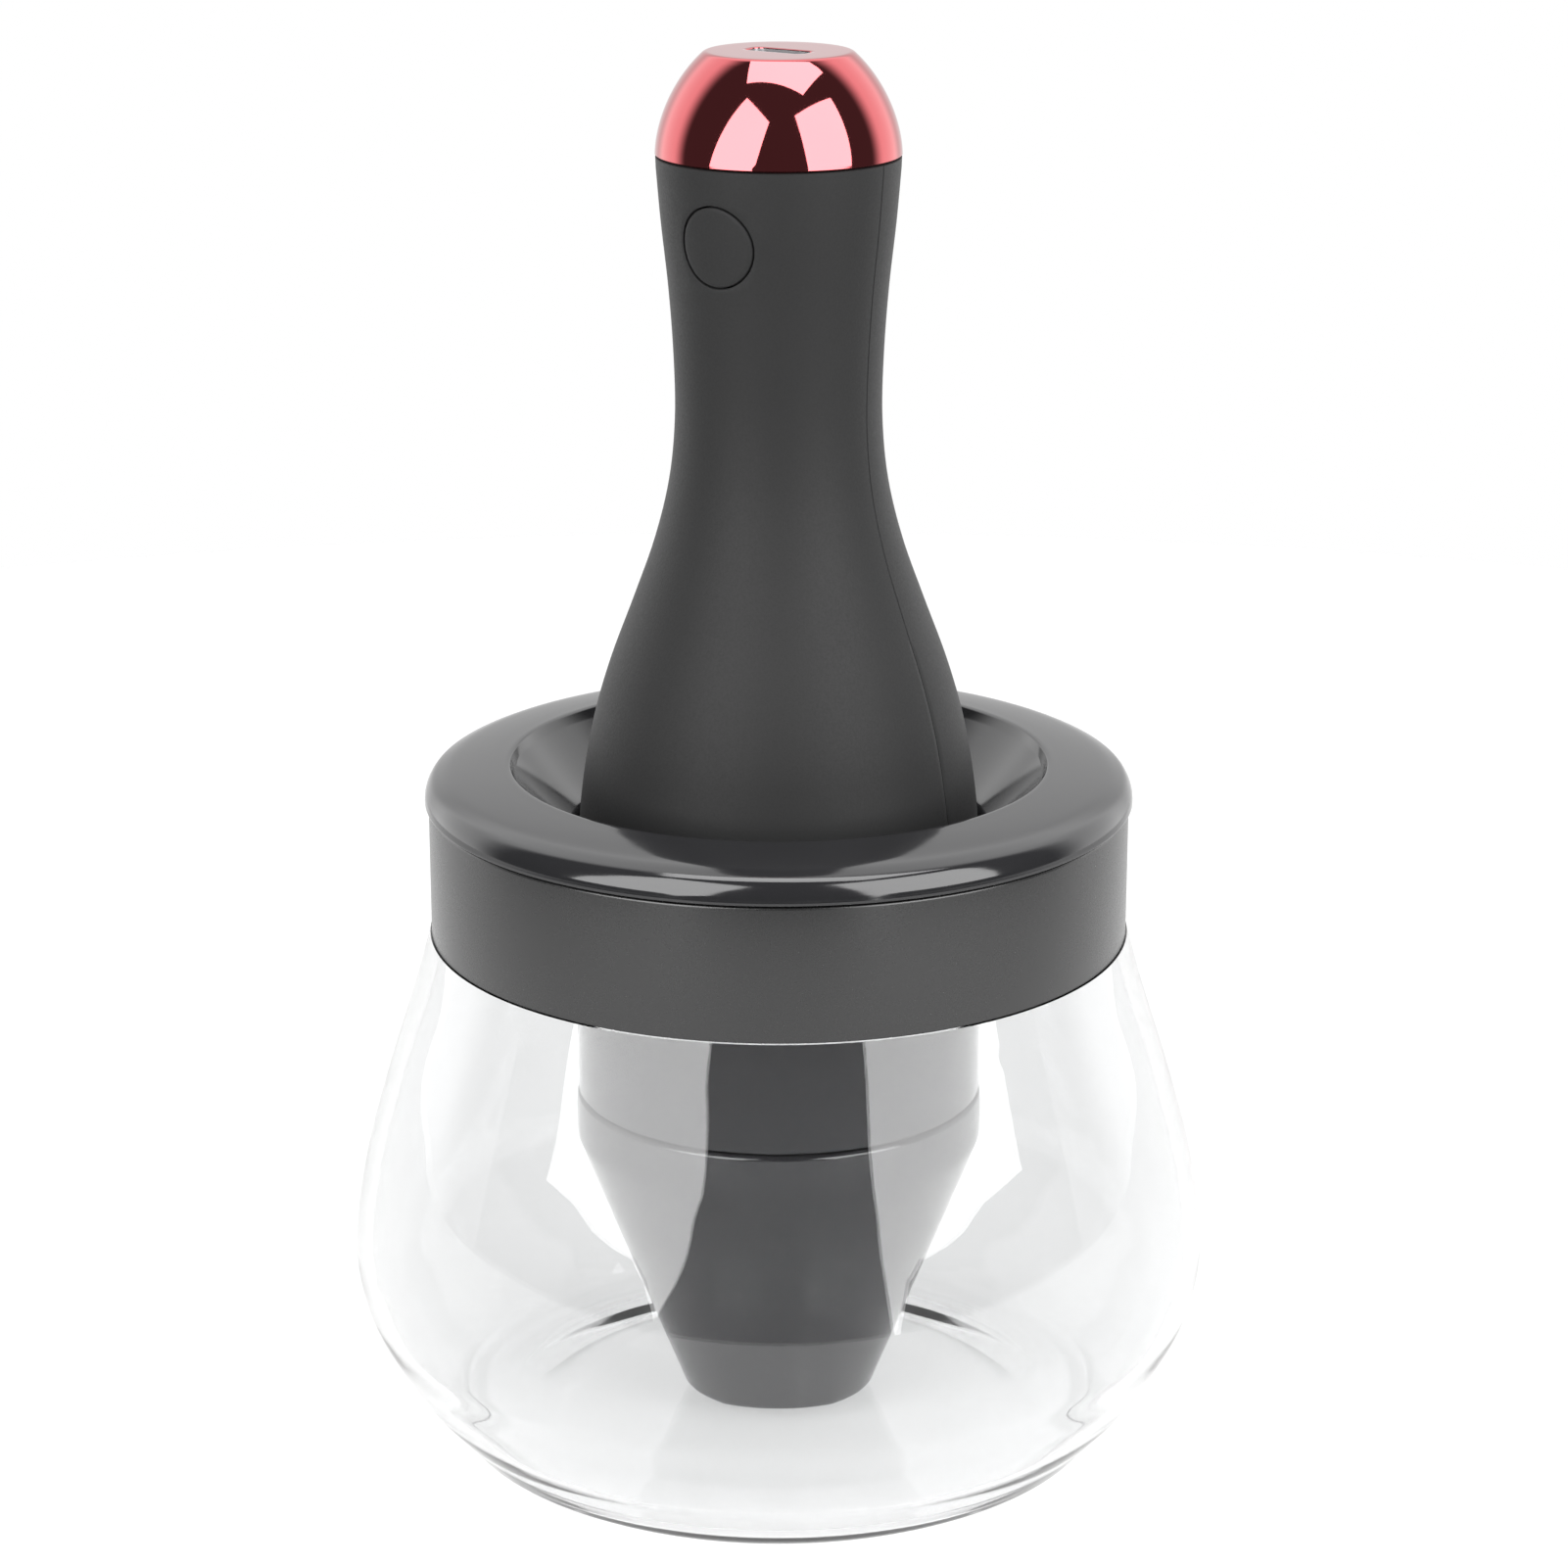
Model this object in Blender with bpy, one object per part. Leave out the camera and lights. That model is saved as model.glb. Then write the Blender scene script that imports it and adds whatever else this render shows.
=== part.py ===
"""Electric make-up brush cleaner: clear bowl, splash ring with a rest cup, and a battery handle.

The handle stands in the well of the splash ring, with its spindle and rubber collar hanging in
the rest cup. The origin is the centre of the bowl's foot, and +Z is up. All sizes below are in
millimetres; the mesh helpers turn them into metres. The power button faces -Y.
"""

import math

import bmesh
import bpy
from mathutils import Matrix, Vector

MM = 0.001
GAP = 0.3  # air between two pieces that touch
PAST = 1.0  # how far a cutter reaches past the wall that it cuts
WELD = 1e-7  # metres
SHARP_ANGLE = math.radians(35)
FULL_TURN = 2 * math.pi
UP = (0, 0, 1)

# Clear bowl
BOWL_OUTLINE = [
    (41.0, 0.0), (44.9, 2.0), (47.6, 5.2), (50.8, 9.0), (53.9, 14.0), (56.7, 20.0),
    (57.7, 27.0), (56.2, 38.0), (53.0, 50.0), (49.2, 62.0), (46.6, 71.1),
]  # foot to shoulder
BOWL_WALL = 2.2
BOWL_FLOOR_Z = 3.2
BOWL_FOOT_INNER_R = 36.0
BOWL_FOOT_RECESS = 1.0
BOWL_NECK_R = 43.1
BOWL_RIM_Z = 88.6
BOWL_RIM_ROUND = 0.4
BOWL_SHOULDER_ROUND = 1.3
BOWL_SEGMENTS = 36

# Splash ring, with its band, gasket and rest cup
RING_SEAM_Z = 89.2
RING_TOP_Z = 94.0
RING_EDGE_R = 46.9
BAND_R = 46.4
BAND_WALL = 1.2
BAND_BOTTOM_Z = 71.5
SKIRT_R = 44.9
SKIRT_WALL = 1.3
SKIRT_BOTTOM_Z = 80.0
DISH_RIM_R, DISH_RIM_Z = 35.4, 93.1
DISH_FOOT_R, DISH_FOOT_Z = 28.0, 84.9
RING_WALL = 1.8
SEAT_R = 27.6
SEAT_Z = 82.7
WELL_R = 27.1
WELL_BORE_R = 25.4
WELL_BOTTOM_Z = 48.5
GASKET_Z = (88.9, 91.4)
RING_EDGE_STEPS = [(0, 0), (0.1, 1.2), (0.9, 2.7), (2.6, 4.2), (4.9, 4.8), (8.4, 4.8)]  # inwards, up
CUP_BEAD_R = 27.4
CUP_BEAD_Z = (43.2, 46.2)
CUP_SPIGOT_R = 25.1
CUP_SPIGOT_WALL = 1.4
CUP_SPIGOT_TOP_Z = 56.0
CUP_WALL = 1.7
CUP_FOOT_R = 13.6
CUP_BOTTOM_Z = 4.2
CUP_FOOT_ROUND = 2.2
RING_SEGMENTS = 36
CUP_SEGMENTS = 28

# Handle
HANDLE_OUTLINE = [
    (15.7, 173.9), (15.05, 166.0), (14.1, 157.0), (13.5, 148.0), (13.4, 140.0), (14.2, 132.0),
    (16.15, 124.0), (19.0, 116.0), (22.0, 108.0), (24.1, 101.0), (25.5, 94.0), (26.3, 88.0),
    (26.6, 83.0),
]  # cap seam to shoulder
SHELL_WALL = 1.9
SHELL_SPIGOT_R = 13.4
SHELL_SPIGOT_BORE_R = 12.1
SHELL_TOP_Z = 176.8
BASE_SPIGOT_R = 24.4
BASE_SPIGOT_BORE_R = 22.6
BASE_LEDGE_BORE_R = 20.9
BASE_LEDGE_Z = (62.2, 64.9)
PARTING_GAP = 0.3
CAP_OUTLINE = [
    (8.7, 187.1), (11.3, 185.0), (13.4, 182.0), (14.5, 179.6), (15.1, 178.0), (15.6, 175.8),
    (15.75, 174.2),
]  # flat top to seam
CAP_WALL = 1.4
SLOT_WIDTH, SLOT_THICKNESS, SLOT_CORNER = 8.6, 3.2, 1.0
SPIGOT_BORE_FOOT_Z = 170.8
SHELL_STEPS = 14
CAP_SEGMENTS = 28

# Power button and the switch behind it
BUTTON_Z = 164.2
BUTTON_R = 5.0
BUTTON_HOLE_R = 5.35
BUTTON_FLANGE_R = 6.2
BUTTON_FLANGE_Y = (-10.3, -9.3)
BUTTON_STEM_R = 1.7
BUTTON_STEM_END_Y = -6.9
BUTTON_BLANK_Y = -17.0  # outside the handle's skin, which then trims it
SWITCH_SIDE = 6.0
SWITCH_Y = (-2.5, 1.3)
SWITCH_BORE_R = 2.0
SWITCH_BORE_END_Y = -0.6
PLUNGER_Y = (-6.6, -1.4)

# Board, charging socket and battery
BOARD_WIDTH, BOARD_THICKNESS = 16.0, 1.2
BOARD_FRONT_Y = 1.6
BOARD_Z = (151.0, 183.0)
BOARD_SCREWS = [(-4.0, 155.5), (4.0, 177.0)]  # x, z
SOCKET_SIZE = (7.6, 2.6, 5.6)
SOCKET_TOP_Z = 185.2
SOCKET_WALL = 0.35
TONGUE_SIZE = (3.9, 0.6, 3.8)
TONGUE_DEPTH = 0.4
BATTERY_R = 7.1
BATTERY_Z = (98.0, 148.0)
BATTERY_CREASE = 0.5
BATTERY_POLE_R, BATTERY_POLE_HEIGHT = 2.6, 0.6
TAB_SIZE = (5.0, 12.0, 0.3)
LEAD_R = 0.6
LEAD_SIDES_RESOLUTION = 2
PAD_HEIGHT = 1.1  # of the solder pads, above the board's foot

# Chassis
TROUGH_BORE_R, TROUGH_R = 7.5, 9.0
TROUGH_Z = (96.0, 150.0)
SHELF_R = 20.6
SHELF_Z = (95.0, 96.6)
SPINE_SIZE = (12.0, 1.5, 32.0)
SPINE_BACK_Y = 9.4
SPINE_BOTTOM_Z = 148.0
BOSS_R = 2.0
BOSS_FLOOR = 1.2
POST_R = 2.4
POST_DISTANCE = 17.0
LEAD_HOLE_R = 1.3
LEAD_HOLE_Y = -9.4

# Motor
MOTOR_R = 10.2
MOTOR_FLAT = 7.6
MOTOR_WALL = 0.9
MOTOR_Z = (67.5, 90.0)
MOTOR_BOSS_R = 3.0
MOTOR_BOSS_Z = 66.1
END_CAP_Z = (90.3, 92.6)
TERMINAL_X, TERMINAL_Y = 5.0, -3.6
TERMINAL_SIZE = (2.2, 0.8, 1.6)
ROOT = 0.5  # how far a boss sinks into the wall that it stands on
MAGNET_R = (7.0, 9.0)
MAGNET_HALF_ANGLE = math.radians(42)
MAGNET_Z = (71.0, 87.0)
ARMATURE_R = 6.1
ARMATURE_VALLEY_R = 3.0
ARMATURE_Z = (73.0, 85.0)
ARMATURE_POLES = 3
POLE_HALF_ANGLE = math.radians(48)
COMMUTATOR_R = 2.4
COMMUTATOR_Z = (86.0, 89.5)
SHAFT_R = 1.0
SHAFT_Z = (63.4, 92.0)
SHAFT_HOLE_R = 1.3
PLATE_R = 22.2
PLATE_Z = (65.2, 67.2)
PLATE_HOLE_R = 3.4
PLATE_BOSS_Z = 62.6
MOTOR_SCREW_X = 7.6

# Base cover, spindle and collar
COVER_Z = (59.4, 61.9)
COVER_BOSS_R = 7.0
COVER_BOSS_Z = 55.6
COVER_EDGE = 0.8
COVER_SCREW_DISTANCE = 17.5
COVER_SCREWS = 3
BUSH_R, BUSH_BORE_R = 4.0, 2.65
BUSH_Z = (58.2, 61.0)
SEAL_R, SEAL_BORE_R = 5.5, 2.75
SEAL_Z = (55.9, 57.6)
COUPLING_R = 3.2
COUPLING_Z = (61.4, 65.0)
COUPLING_STEP_Z = 63.3
SPINDLE_R = 2.5
SPINDLE_Z = (46.0, 63.1)
SPINDLE_BORE_R = 2.65
HEAD_FLANGE_R, HEAD_R = 9.0, 6.0
HEAD_Z = (43.2, 54.6)
HEAD_FLANGE_HEIGHT = 2.2
COLLAR_R, COLLAR_MOUTH_R = 9.6, 7.4
COLLAR_BORE_R, COLLAR_SOCKET_R = 3.5, 6.5
COLLAR_Z = (31.2, 51.4)
COLLAR_BAND_HEIGHT = 3.4
COLLAR_NECK_HEIGHT = 2.8

# Screws
SCREW_R = 0.95
SCREW_HEAD_R = 1.9
SCREW_HEAD_HEIGHT = 1.1
SCREW_HOLE_R = 1.15
SCREW_RECESS_R = 2.3
SCREW_RECESS_DEPTH = 1.4
SCREW_SEGMENTS = 10
SMALL_SEGMENTS = 20
TINY_SEGMENTS = 14
BOARD_SCREW_LENGTH, CHASSIS_SCREW_LENGTH = 5.4, 6.0
MOTOR_SCREW_LENGTH, COVER_SCREW_LENGTH = 4.0, 5.6

# Finishes: colour, roughness, metallic
FINISHES = {
    "clear_glass": ((0.93, 0.94, 0.95), 0.03, 0.0),
    "gloss_black": ((0.012, 0.012, 0.013), 0.08, 0.0),
    "satin_black": ((0.055, 0.055, 0.057), 0.42, 0.0),
    "soft_grey": ((0.058, 0.058, 0.06), 0.62, 0.0),
    "red_mirror": ((0.72, 0.12, 0.14), 0.05, 1.0),
    "silicone": ((0.75, 0.75, 0.74), 0.5, 0.0),
    "soft_rubber": ((0.03, 0.03, 0.03), 0.75, 0.0),
    "inner_plastic": ((0.6, 0.6, 0.58), 0.5, 0.0),
    "board_green": ((0.02, 0.13, 0.05), 0.4, 0.0),
    "battery_wrap": ((0.03, 0.1, 0.3), 0.35, 0.0),
    "steel": ((0.6, 0.6, 0.61), 0.3, 1.0),
    "nickel": ((0.68, 0.66, 0.6), 0.28, 1.0),
    "brass": ((0.72, 0.52, 0.22), 0.3, 1.0),
    "copper": ((0.72, 0.35, 0.2), 0.32, 1.0),
    "ferrite": ((0.07, 0.065, 0.065), 0.6, 0.0),
    "red_lead": ((0.5, 0.02, 0.02), 0.45, 0.0),
    "black_lead": ((0.02, 0.02, 0.02), 0.45, 0.0),
}


def clear_scene():
    for obj in list(bpy.data.objects):
        bpy.data.objects.remove(obj, do_unlink=True)


def finish_of(name):
    """The material of this name, made on first use."""
    if name in bpy.data.materials:
        return bpy.data.materials[name]
    colour, roughness, metallic = FINISHES[name]
    material = bpy.data.materials.new(name)
    material.use_nodes = True
    shader = material.node_tree.nodes["Principled BSDF"]
    shader.inputs["Base Color"].default_value = (*colour, 1)
    shader.inputs["Roughness"].default_value = roughness
    shader.inputs["Metallic"].default_value = metallic
    if name == "clear_glass":
        shader.inputs["Transmission Weight"].default_value = 1
    return material


def body_empty(name, parent=None, location=(0, 0, 0)):
    """An empty on a joint's axis, which carries the pieces of one moving body."""
    empty = bpy.data.objects.new(name, None)
    bpy.context.scene.collection.objects.link(empty)
    empty.location = Vector(location) * MM
    empty.parent = parent
    return empty


def add_mesh(name, bm, finish=None, body=None, location=(0, 0, 0), smooth=True):
    """The bmesh as an object. Its location is in its body's own frame."""
    bmesh.ops.recalc_face_normals(bm, faces=bm.faces)
    mesh = bpy.data.meshes.new(name)
    bm.to_mesh(mesh)
    bm.free()
    obj = bpy.data.objects.new(name, mesh)
    bpy.context.scene.collection.objects.link(obj)
    obj.location = Vector(location) * MM
    obj.parent = body
    if smooth:
        mesh.shade_smooth()
        mesh.set_sharp_from_angle(angle=SHARP_ANGLE)
    if finish:
        mesh.materials.append(finish_of(finish))
    return obj


def turned_bm(outline, segments, angle=FULL_TURN, start=0.0):
    """Spins a closed outline of (radius, height) round Z.

    An outline that starts and ends on the axis is open there. Less than a full turn gets flat ends.
    """
    bm = bmesh.new()
    on_axis = outline[0][0] == 0 and outline[-1][0] == 0
    across, deep = MM * math.cos(start), MM * math.sin(start)
    first = [bm.verts.new((r * across, r * deep, z * MM)) for r, z in outline]
    pairs = list(zip(first, first[1:]))
    if not on_axis:
        pairs.append((first[-1], first[0]))
    edges = [bm.edges.new(pair) for pair in pairs]
    part_turn = angle < FULL_TURN
    if part_turn:
        bm.faces.new(first)
    spun = bmesh.ops.spin(
        bm, geom=edges, cent=(0, 0, 0), axis=UP, angle=angle, steps=segments, use_merge=not part_turn
    )
    if part_turn:
        last = [item for item in spun["geom_last"] if isinstance(item, bmesh.types.BMEdge)]
        bmesh.ops.holes_fill(bm, edges=last)
    bmesh.ops.remove_doubles(bm, verts=bm.verts, dist=WELD)
    return bm


def turned(name, outline, finish=None, body=None, segments=SMALL_SEGMENTS, location=(0, 0, 0)):
    return add_mesh(name, turned_bm(outline, segments), finish, body, location)


def facing_y(bm):
    """Turns a shape built along +Z so that it lies along +Y."""
    bmesh.ops.rotate(bm, verts=bm.verts, cent=(0, 0, 0), matrix=Matrix.Rotation(-math.pi / 2, 3, "X"))
    return bm


def prism_bm(outline, low, high):
    """A closed outline of (x, y), extruded from height low to high."""
    bm = bmesh.new()
    floor = bm.faces.new([bm.verts.new((x * MM, y * MM, low * MM)) for x, y in outline])
    raised = bmesh.ops.extrude_face_region(bm, geom=[floor])
    verts = [item for item in raised["geom"] if isinstance(item, bmesh.types.BMVert)]
    bmesh.ops.translate(bm, verts=verts, vec=(0, 0, (high - low) * MM))
    return bm


def box_bm(size, centre=(0, 0, 0)):
    bm = bmesh.new()
    bmesh.ops.create_cube(bm, size=1)
    bmesh.ops.scale(bm, vec=Vector(size) * MM, verts=bm.verts)
    bmesh.ops.translate(bm, vec=Vector(centre) * MM, verts=bm.verts)
    return bm


def rod(radius, low, high):
    """The outline of a plain rod, for turning."""
    return [(0, high), (radius, high), (radius, low), (0, low)]


def sleeve(radius, bore, low, high):
    """The outline of a plain sleeve, for turning."""
    return [(radius, high), (radius, low), (bore, low), (bore, high)]


def blind_boss(radius, low, high):
    """The outline of a screw boss that is open below and closed above."""
    floor = high - BOSS_FLOOR
    return [
        (0, high), (radius, high), (radius, low), (SCREW_HOLE_R, low), (SCREW_HOLE_R, floor),
        (0, floor),
    ]


def arc_points(radius, start, end, steps):
    angles = [start + (end - start) * i / steps for i in range(steps + 1)]
    return [(radius * math.cos(a), radius * math.sin(a)) for a in angles]


def rounded_slot(width, thickness, corner):
    """The outline of a slot along X with rounded corners."""
    x, y = width / 2 - corner, thickness / 2 - corner
    outline = []
    for quarter, (cx, cy) in enumerate([(x, y), (-x, y), (-x, -y), (x, -y)]):
        start = quarter * math.pi / 2
        outline += [(cx + a, cy + b) for a, b in arc_points(corner, start, start + math.pi / 2, 3)]
    return outline


def inset(outline, distance):
    """The outline moved sideways by a wall's thickness, towards its left as it runs."""
    moved = []
    for i, (r, z) in enumerate(outline):
        before = outline[max(i - 1, 0)]
        after = outline[min(i + 1, len(outline) - 1)]
        along = Vector((after[0] - before[0], after[1] - before[1])).normalized()
        moved.append((r - along.y * distance, z + along.x * distance))
    return moved


def helper(bm, location=(0, 0, 0)):
    """A shape that only serves a Boolean."""
    obj = add_mesh("helper", bm, location=location, smooth=False)
    obj.hide_render = True
    obj.display_type = "WIRE"
    return obj


def combine(obj, shapes, operation):
    for shape in shapes:
        modifier = obj.modifiers.new(operation.lower(), "BOOLEAN")
        modifier.operation = operation
        modifier.solver = "EXACT"
        modifier.object = shape
    return obj


def cut(obj, *shapes):
    return combine(obj, shapes, "DIFFERENCE")


def join(obj, *shapes):
    return combine(obj, shapes, "UNION")


def hole_z(radius, low, high, x=0, y=0):
    """A cutter for a round hole along Z."""
    return helper(turned_bm(rod(radius, low, high), SCREW_SEGMENTS), location=(x, y, 0))


def hole_y(radius, front, back, x, z, segments=SCREW_SEGMENTS):
    """A cutter for a round hole along Y."""
    return helper(facing_y(turned_bm(rod(radius, front, back), segments)), location=(x, 0, z))


def on_circle(count, distance, start):
    angles = [start + FULL_TURN * i / count for i in range(count)]
    return [(distance * math.cos(a), distance * math.sin(a)) for a in angles]


def make_bowl(body):
    inner = inset(BOWL_OUTLINE, BOWL_WALL)
    wall = [point for point in inner if point[1] > BOWL_FLOOR_Z + 1]
    neck_bore = BOWL_NECK_R - BOWL_WALL
    shoulder_z = BOWL_OUTLINE[-1][1]
    floor_r = wall[0][0]
    outline = [
        (0, BOWL_FOOT_RECESS),
        (BOWL_FOOT_INNER_R - BOWL_FOOT_RECESS, BOWL_FOOT_RECESS),
        (BOWL_FOOT_INNER_R, 0),
        *BOWL_OUTLINE,
        (BOWL_NECK_R + BOWL_SHOULDER_ROUND, shoulder_z),
        (BOWL_NECK_R, shoulder_z + BOWL_SHOULDER_ROUND),
        (BOWL_NECK_R, BOWL_RIM_Z - BOWL_RIM_ROUND),
        (BOWL_NECK_R - BOWL_RIM_ROUND, BOWL_RIM_Z),
        (neck_bore + BOWL_RIM_ROUND, BOWL_RIM_Z),
        (neck_bore, BOWL_RIM_Z - BOWL_RIM_ROUND),
        (neck_bore, shoulder_z + 0.5),
        *reversed(wall),
        (floor_r - 3, BOWL_FLOOR_Z + 0.5),
        (floor_r - 6, BOWL_FLOOR_Z),
        (0, BOWL_FLOOR_Z),
    ]
    turned("glass_bowl", outline[::-1], "clear_glass", body, BOWL_SEGMENTS)


def make_splash_ring(body):
    wall = RING_WALL
    skirt_bore = SKIRT_R - SKIRT_WALL
    outline = [
        *[(RING_EDGE_R - inwards, RING_SEAM_Z + up) for inwards, up in RING_EDGE_STEPS],
        (DISH_RIM_R + 1.2, RING_TOP_Z - 0.3),
        (DISH_RIM_R, DISH_RIM_Z),
        (DISH_FOOT_R, DISH_FOOT_Z),
        (SEAT_R, DISH_FOOT_Z - 0.7),
        (SEAT_R, SEAT_Z),
        (WELL_BORE_R, SEAT_Z),
        (WELL_BORE_R, WELL_BOTTOM_Z),
        (WELL_R, WELL_BOTTOM_Z),
        (WELL_R, SEAT_Z - 3.2),
        (SEAT_R + wall, SEAT_Z - 1),
        (DISH_FOOT_R + wall, DISH_FOOT_Z - 1.3),
        (DISH_RIM_R + wall, DISH_RIM_Z - wall),
        (skirt_bore, RING_TOP_Z - wall - 0.4),
        (skirt_bore, SKIRT_BOTTOM_Z),
        (SKIRT_R, SKIRT_BOTTOM_Z),
        (SKIRT_R, RING_SEAM_Z),
    ]
    turned("splash_ring_top", outline, "gloss_black", body, RING_SEGMENTS)
    band = sleeve(BAND_R, BAND_R - BAND_WALL, BAND_BOTTOM_Z, RING_SEAM_Z - GAP)
    turned("splash_ring_band", band, "satin_black", body, RING_SEGMENTS)
    gasket = sleeve(BOWL_NECK_R, BOWL_NECK_R - BOWL_WALL, *GASKET_Z)
    turned("bowl_gasket", gasket, "silicone", body, RING_SEGMENTS)


def make_rest_cup(body):
    bead_low, bead_high = CUP_BEAD_Z
    lip_z = WELL_BOTTOM_Z - GAP
    spigot_bore = CUP_SPIGOT_R - CUP_SPIGOT_WALL
    outline = [
        (CUP_SPIGOT_R, CUP_SPIGOT_TOP_Z),
        (CUP_SPIGOT_R, lip_z),
        (CUP_BEAD_R - 0.7, lip_z),
        (CUP_BEAD_R, bead_high),
        (CUP_BEAD_R, bead_low),
        (CUP_BEAD_R - 0.1, bead_low - 1.4),
        (CUP_FOOT_R, CUP_BOTTOM_Z + 2.4),
        (CUP_FOOT_R - 0.7, CUP_BOTTOM_Z + 0.8),
        (CUP_FOOT_R - CUP_FOOT_ROUND, CUP_BOTTOM_Z),
        (0, CUP_BOTTOM_Z),
        (0, CUP_BOTTOM_Z + CUP_WALL),
        (CUP_FOOT_R - CUP_WALL - 0.6, CUP_BOTTOM_Z + CUP_WALL),
        (CUP_FOOT_R - CUP_WALL, CUP_BOTTOM_Z + CUP_WALL + 0.9),
        (CUP_BEAD_R - CUP_WALL, bead_low - 1),
        (spigot_bore, bead_low + 1),
        (spigot_bore, CUP_SPIGOT_TOP_Z),
    ]
    pole = outline.index((0, CUP_BOTTOM_Z))
    turned("rest_cup", outline[pole + 1:] + outline[:pole + 1], "gloss_black", body, CUP_SEGMENTS)


def shell_outline():
    """The closed wall of the handle: top spigot, outer skin, base spigot, then back up the inside."""
    shoulder_z = HANDLE_OUTLINE[-1][1]
    ledge_low, ledge_high = BASE_LEDGE_Z
    inner = [(r - SHELL_WALL, z) for r, z in HANDLE_OUTLINE]
    return [
        (SHELL_SPIGOT_R, SHELL_TOP_Z),
        (SHELL_SPIGOT_R, HANDLE_OUTLINE[0][1]),
        *HANDLE_OUTLINE,
        (BASE_SPIGOT_R, shoulder_z),
        (BASE_SPIGOT_R, ledge_low),
        (BASE_LEDGE_BORE_R, ledge_low),
        (BASE_LEDGE_BORE_R, ledge_high),
        (BASE_SPIGOT_BORE_R, ledge_high),
        (BASE_SPIGOT_BORE_R, shoulder_z + 1.5),
        *reversed(inner[1:-1]),
        (SHELL_SPIGOT_BORE_R, SPIGOT_BORE_FOOT_Z),
        (SHELL_SPIGOT_BORE_R, SHELL_TOP_Z),
    ]


def make_shells(body):
    for name, side in (("handle_front_shell", -1), ("handle_rear_shell", 1)):
        start = -math.pi if side < 0 else 0.0
        bm = turned_bm(shell_outline(), SHELL_STEPS, math.pi, start)
        shell = add_mesh(name, bm, "soft_grey", body, (0, side * PARTING_GAP / 2, 0))
        if side < 0:
            cut(shell, hole_y(BUTTON_HOLE_R, BUTTON_BLANK_Y, BUTTON_STEM_END_Y, 0, BUTTON_Z, CAP_SEGMENTS))


def make_top_cap(body):
    inner = [(r, z) for r, z in inset(CAP_OUTLINE, -CAP_WALL) if r > 0][1:-1]
    ceiling = CAP_OUTLINE[0][1] - CAP_WALL
    seam_z = CAP_OUTLINE[-1][1]
    outline = [
        (0, CAP_OUTLINE[0][1]),
        *CAP_OUTLINE,
        (CAP_OUTLINE[-1][0] - CAP_WALL, seam_z),
        *reversed(inner),
        (inner[0][0] - 1.8, ceiling),
        (0, ceiling),
    ]
    cap = turned("top_cap", outline, "red_mirror", body, CAP_SEGMENTS)
    slot = rounded_slot(SLOT_WIDTH, SLOT_THICKNESS, SLOT_CORNER)
    cut(cap, helper(prism_bm(slot, ceiling - PAST, CAP_OUTLINE[0][1] + PAST)))


def make_button(body):
    """The button's face follows the handle, so it is cut to the handle's own outline."""
    flange_front, flange_back = BUTTON_FLANGE_Y
    outline = [
        (0, BUTTON_STEM_END_Y),
        (BUTTON_STEM_R, BUTTON_STEM_END_Y),
        (BUTTON_STEM_R, flange_back),
        (BUTTON_FLANGE_R, flange_back),
        (BUTTON_FLANGE_R, flange_front),
        (BUTTON_R, flange_front),
        (BUTTON_R, BUTTON_BLANK_Y),
        (0, BUTTON_BLANK_Y),
    ]
    button = add_mesh("power_button", facing_y(turned_bm(outline, CAP_SEGMENTS)), "soft_grey", body)
    skin = [(0, HANDLE_OUTLINE[0][1]), *HANDLE_OUTLINE, (0, HANDLE_OUTLINE[-1][1])]
    combine(button, [helper(turned_bm(skin, 4 * SHELL_STEPS))], "INTERSECT")


def make_switch(handle, plunger):
    front, back = SWITCH_Y
    case = box_bm((SWITCH_SIDE, back - front, SWITCH_SIDE))
    centre = (0, (front + back) / 2, BUTTON_Z)
    switch = add_mesh("switch_body", case, "soft_rubber", handle, centre, smooth=False)
    cut(switch, hole_y(SWITCH_BORE_R, front - PAST, SWITCH_BORE_END_Y, 0, BUTTON_Z, SMALL_SEGMENTS))
    pin = facing_y(turned_bm(rod(BUTTON_STEM_R, *PLUNGER_Y), SMALL_SEGMENTS))
    add_mesh("switch_plunger", pin, "inner_plastic", plunger)


def make_board(body):
    low, high = BOARD_Z
    centre = (0, BOARD_FRONT_Y + BOARD_THICKNESS / 2, (low + high) / 2)
    sheet = box_bm((BOARD_WIDTH, BOARD_THICKNESS, high - low))
    board = add_mesh("main_board", sheet, "board_green", body, centre, smooth=False)
    front, back = BOARD_FRONT_Y - PAST, BOARD_FRONT_Y + BOARD_THICKNESS + PAST
    cut(board, *[hole_y(SCREW_HOLE_R, front, back, x, z) for x, z in BOARD_SCREWS])
    head_y = BOARD_FRONT_Y - GAP - SCREW_HEAD_HEIGHT
    for i, (x, z) in enumerate(BOARD_SCREWS, 1):
        screw = make_screw(f"board_screw_{i}", BOARD_SCREW_LENGTH, body, (x, head_y, z))
        screw.rotation_euler.x = -math.pi / 2
    width, thickness, height = SOCKET_SIZE
    socket = add_mesh(
        "usb_socket", box_bm(SOCKET_SIZE), "steel", body, (0, 0, SOCKET_TOP_Z - height / 2), smooth=False
    )
    mouth = (width - 2 * SOCKET_WALL, thickness - 2 * SOCKET_WALL, height)
    cut(socket, helper(box_bm(mouth), location=(0, 0, SOCKET_TOP_Z - height / 2 + PAST)))
    tongue_z = SOCKET_TOP_Z - TONGUE_DEPTH - TONGUE_SIZE[2] / 2
    add_mesh("usb_tongue", box_bm(TONGUE_SIZE), "soft_rubber", body, (0, 0, tongue_z), smooth=False)


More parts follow.
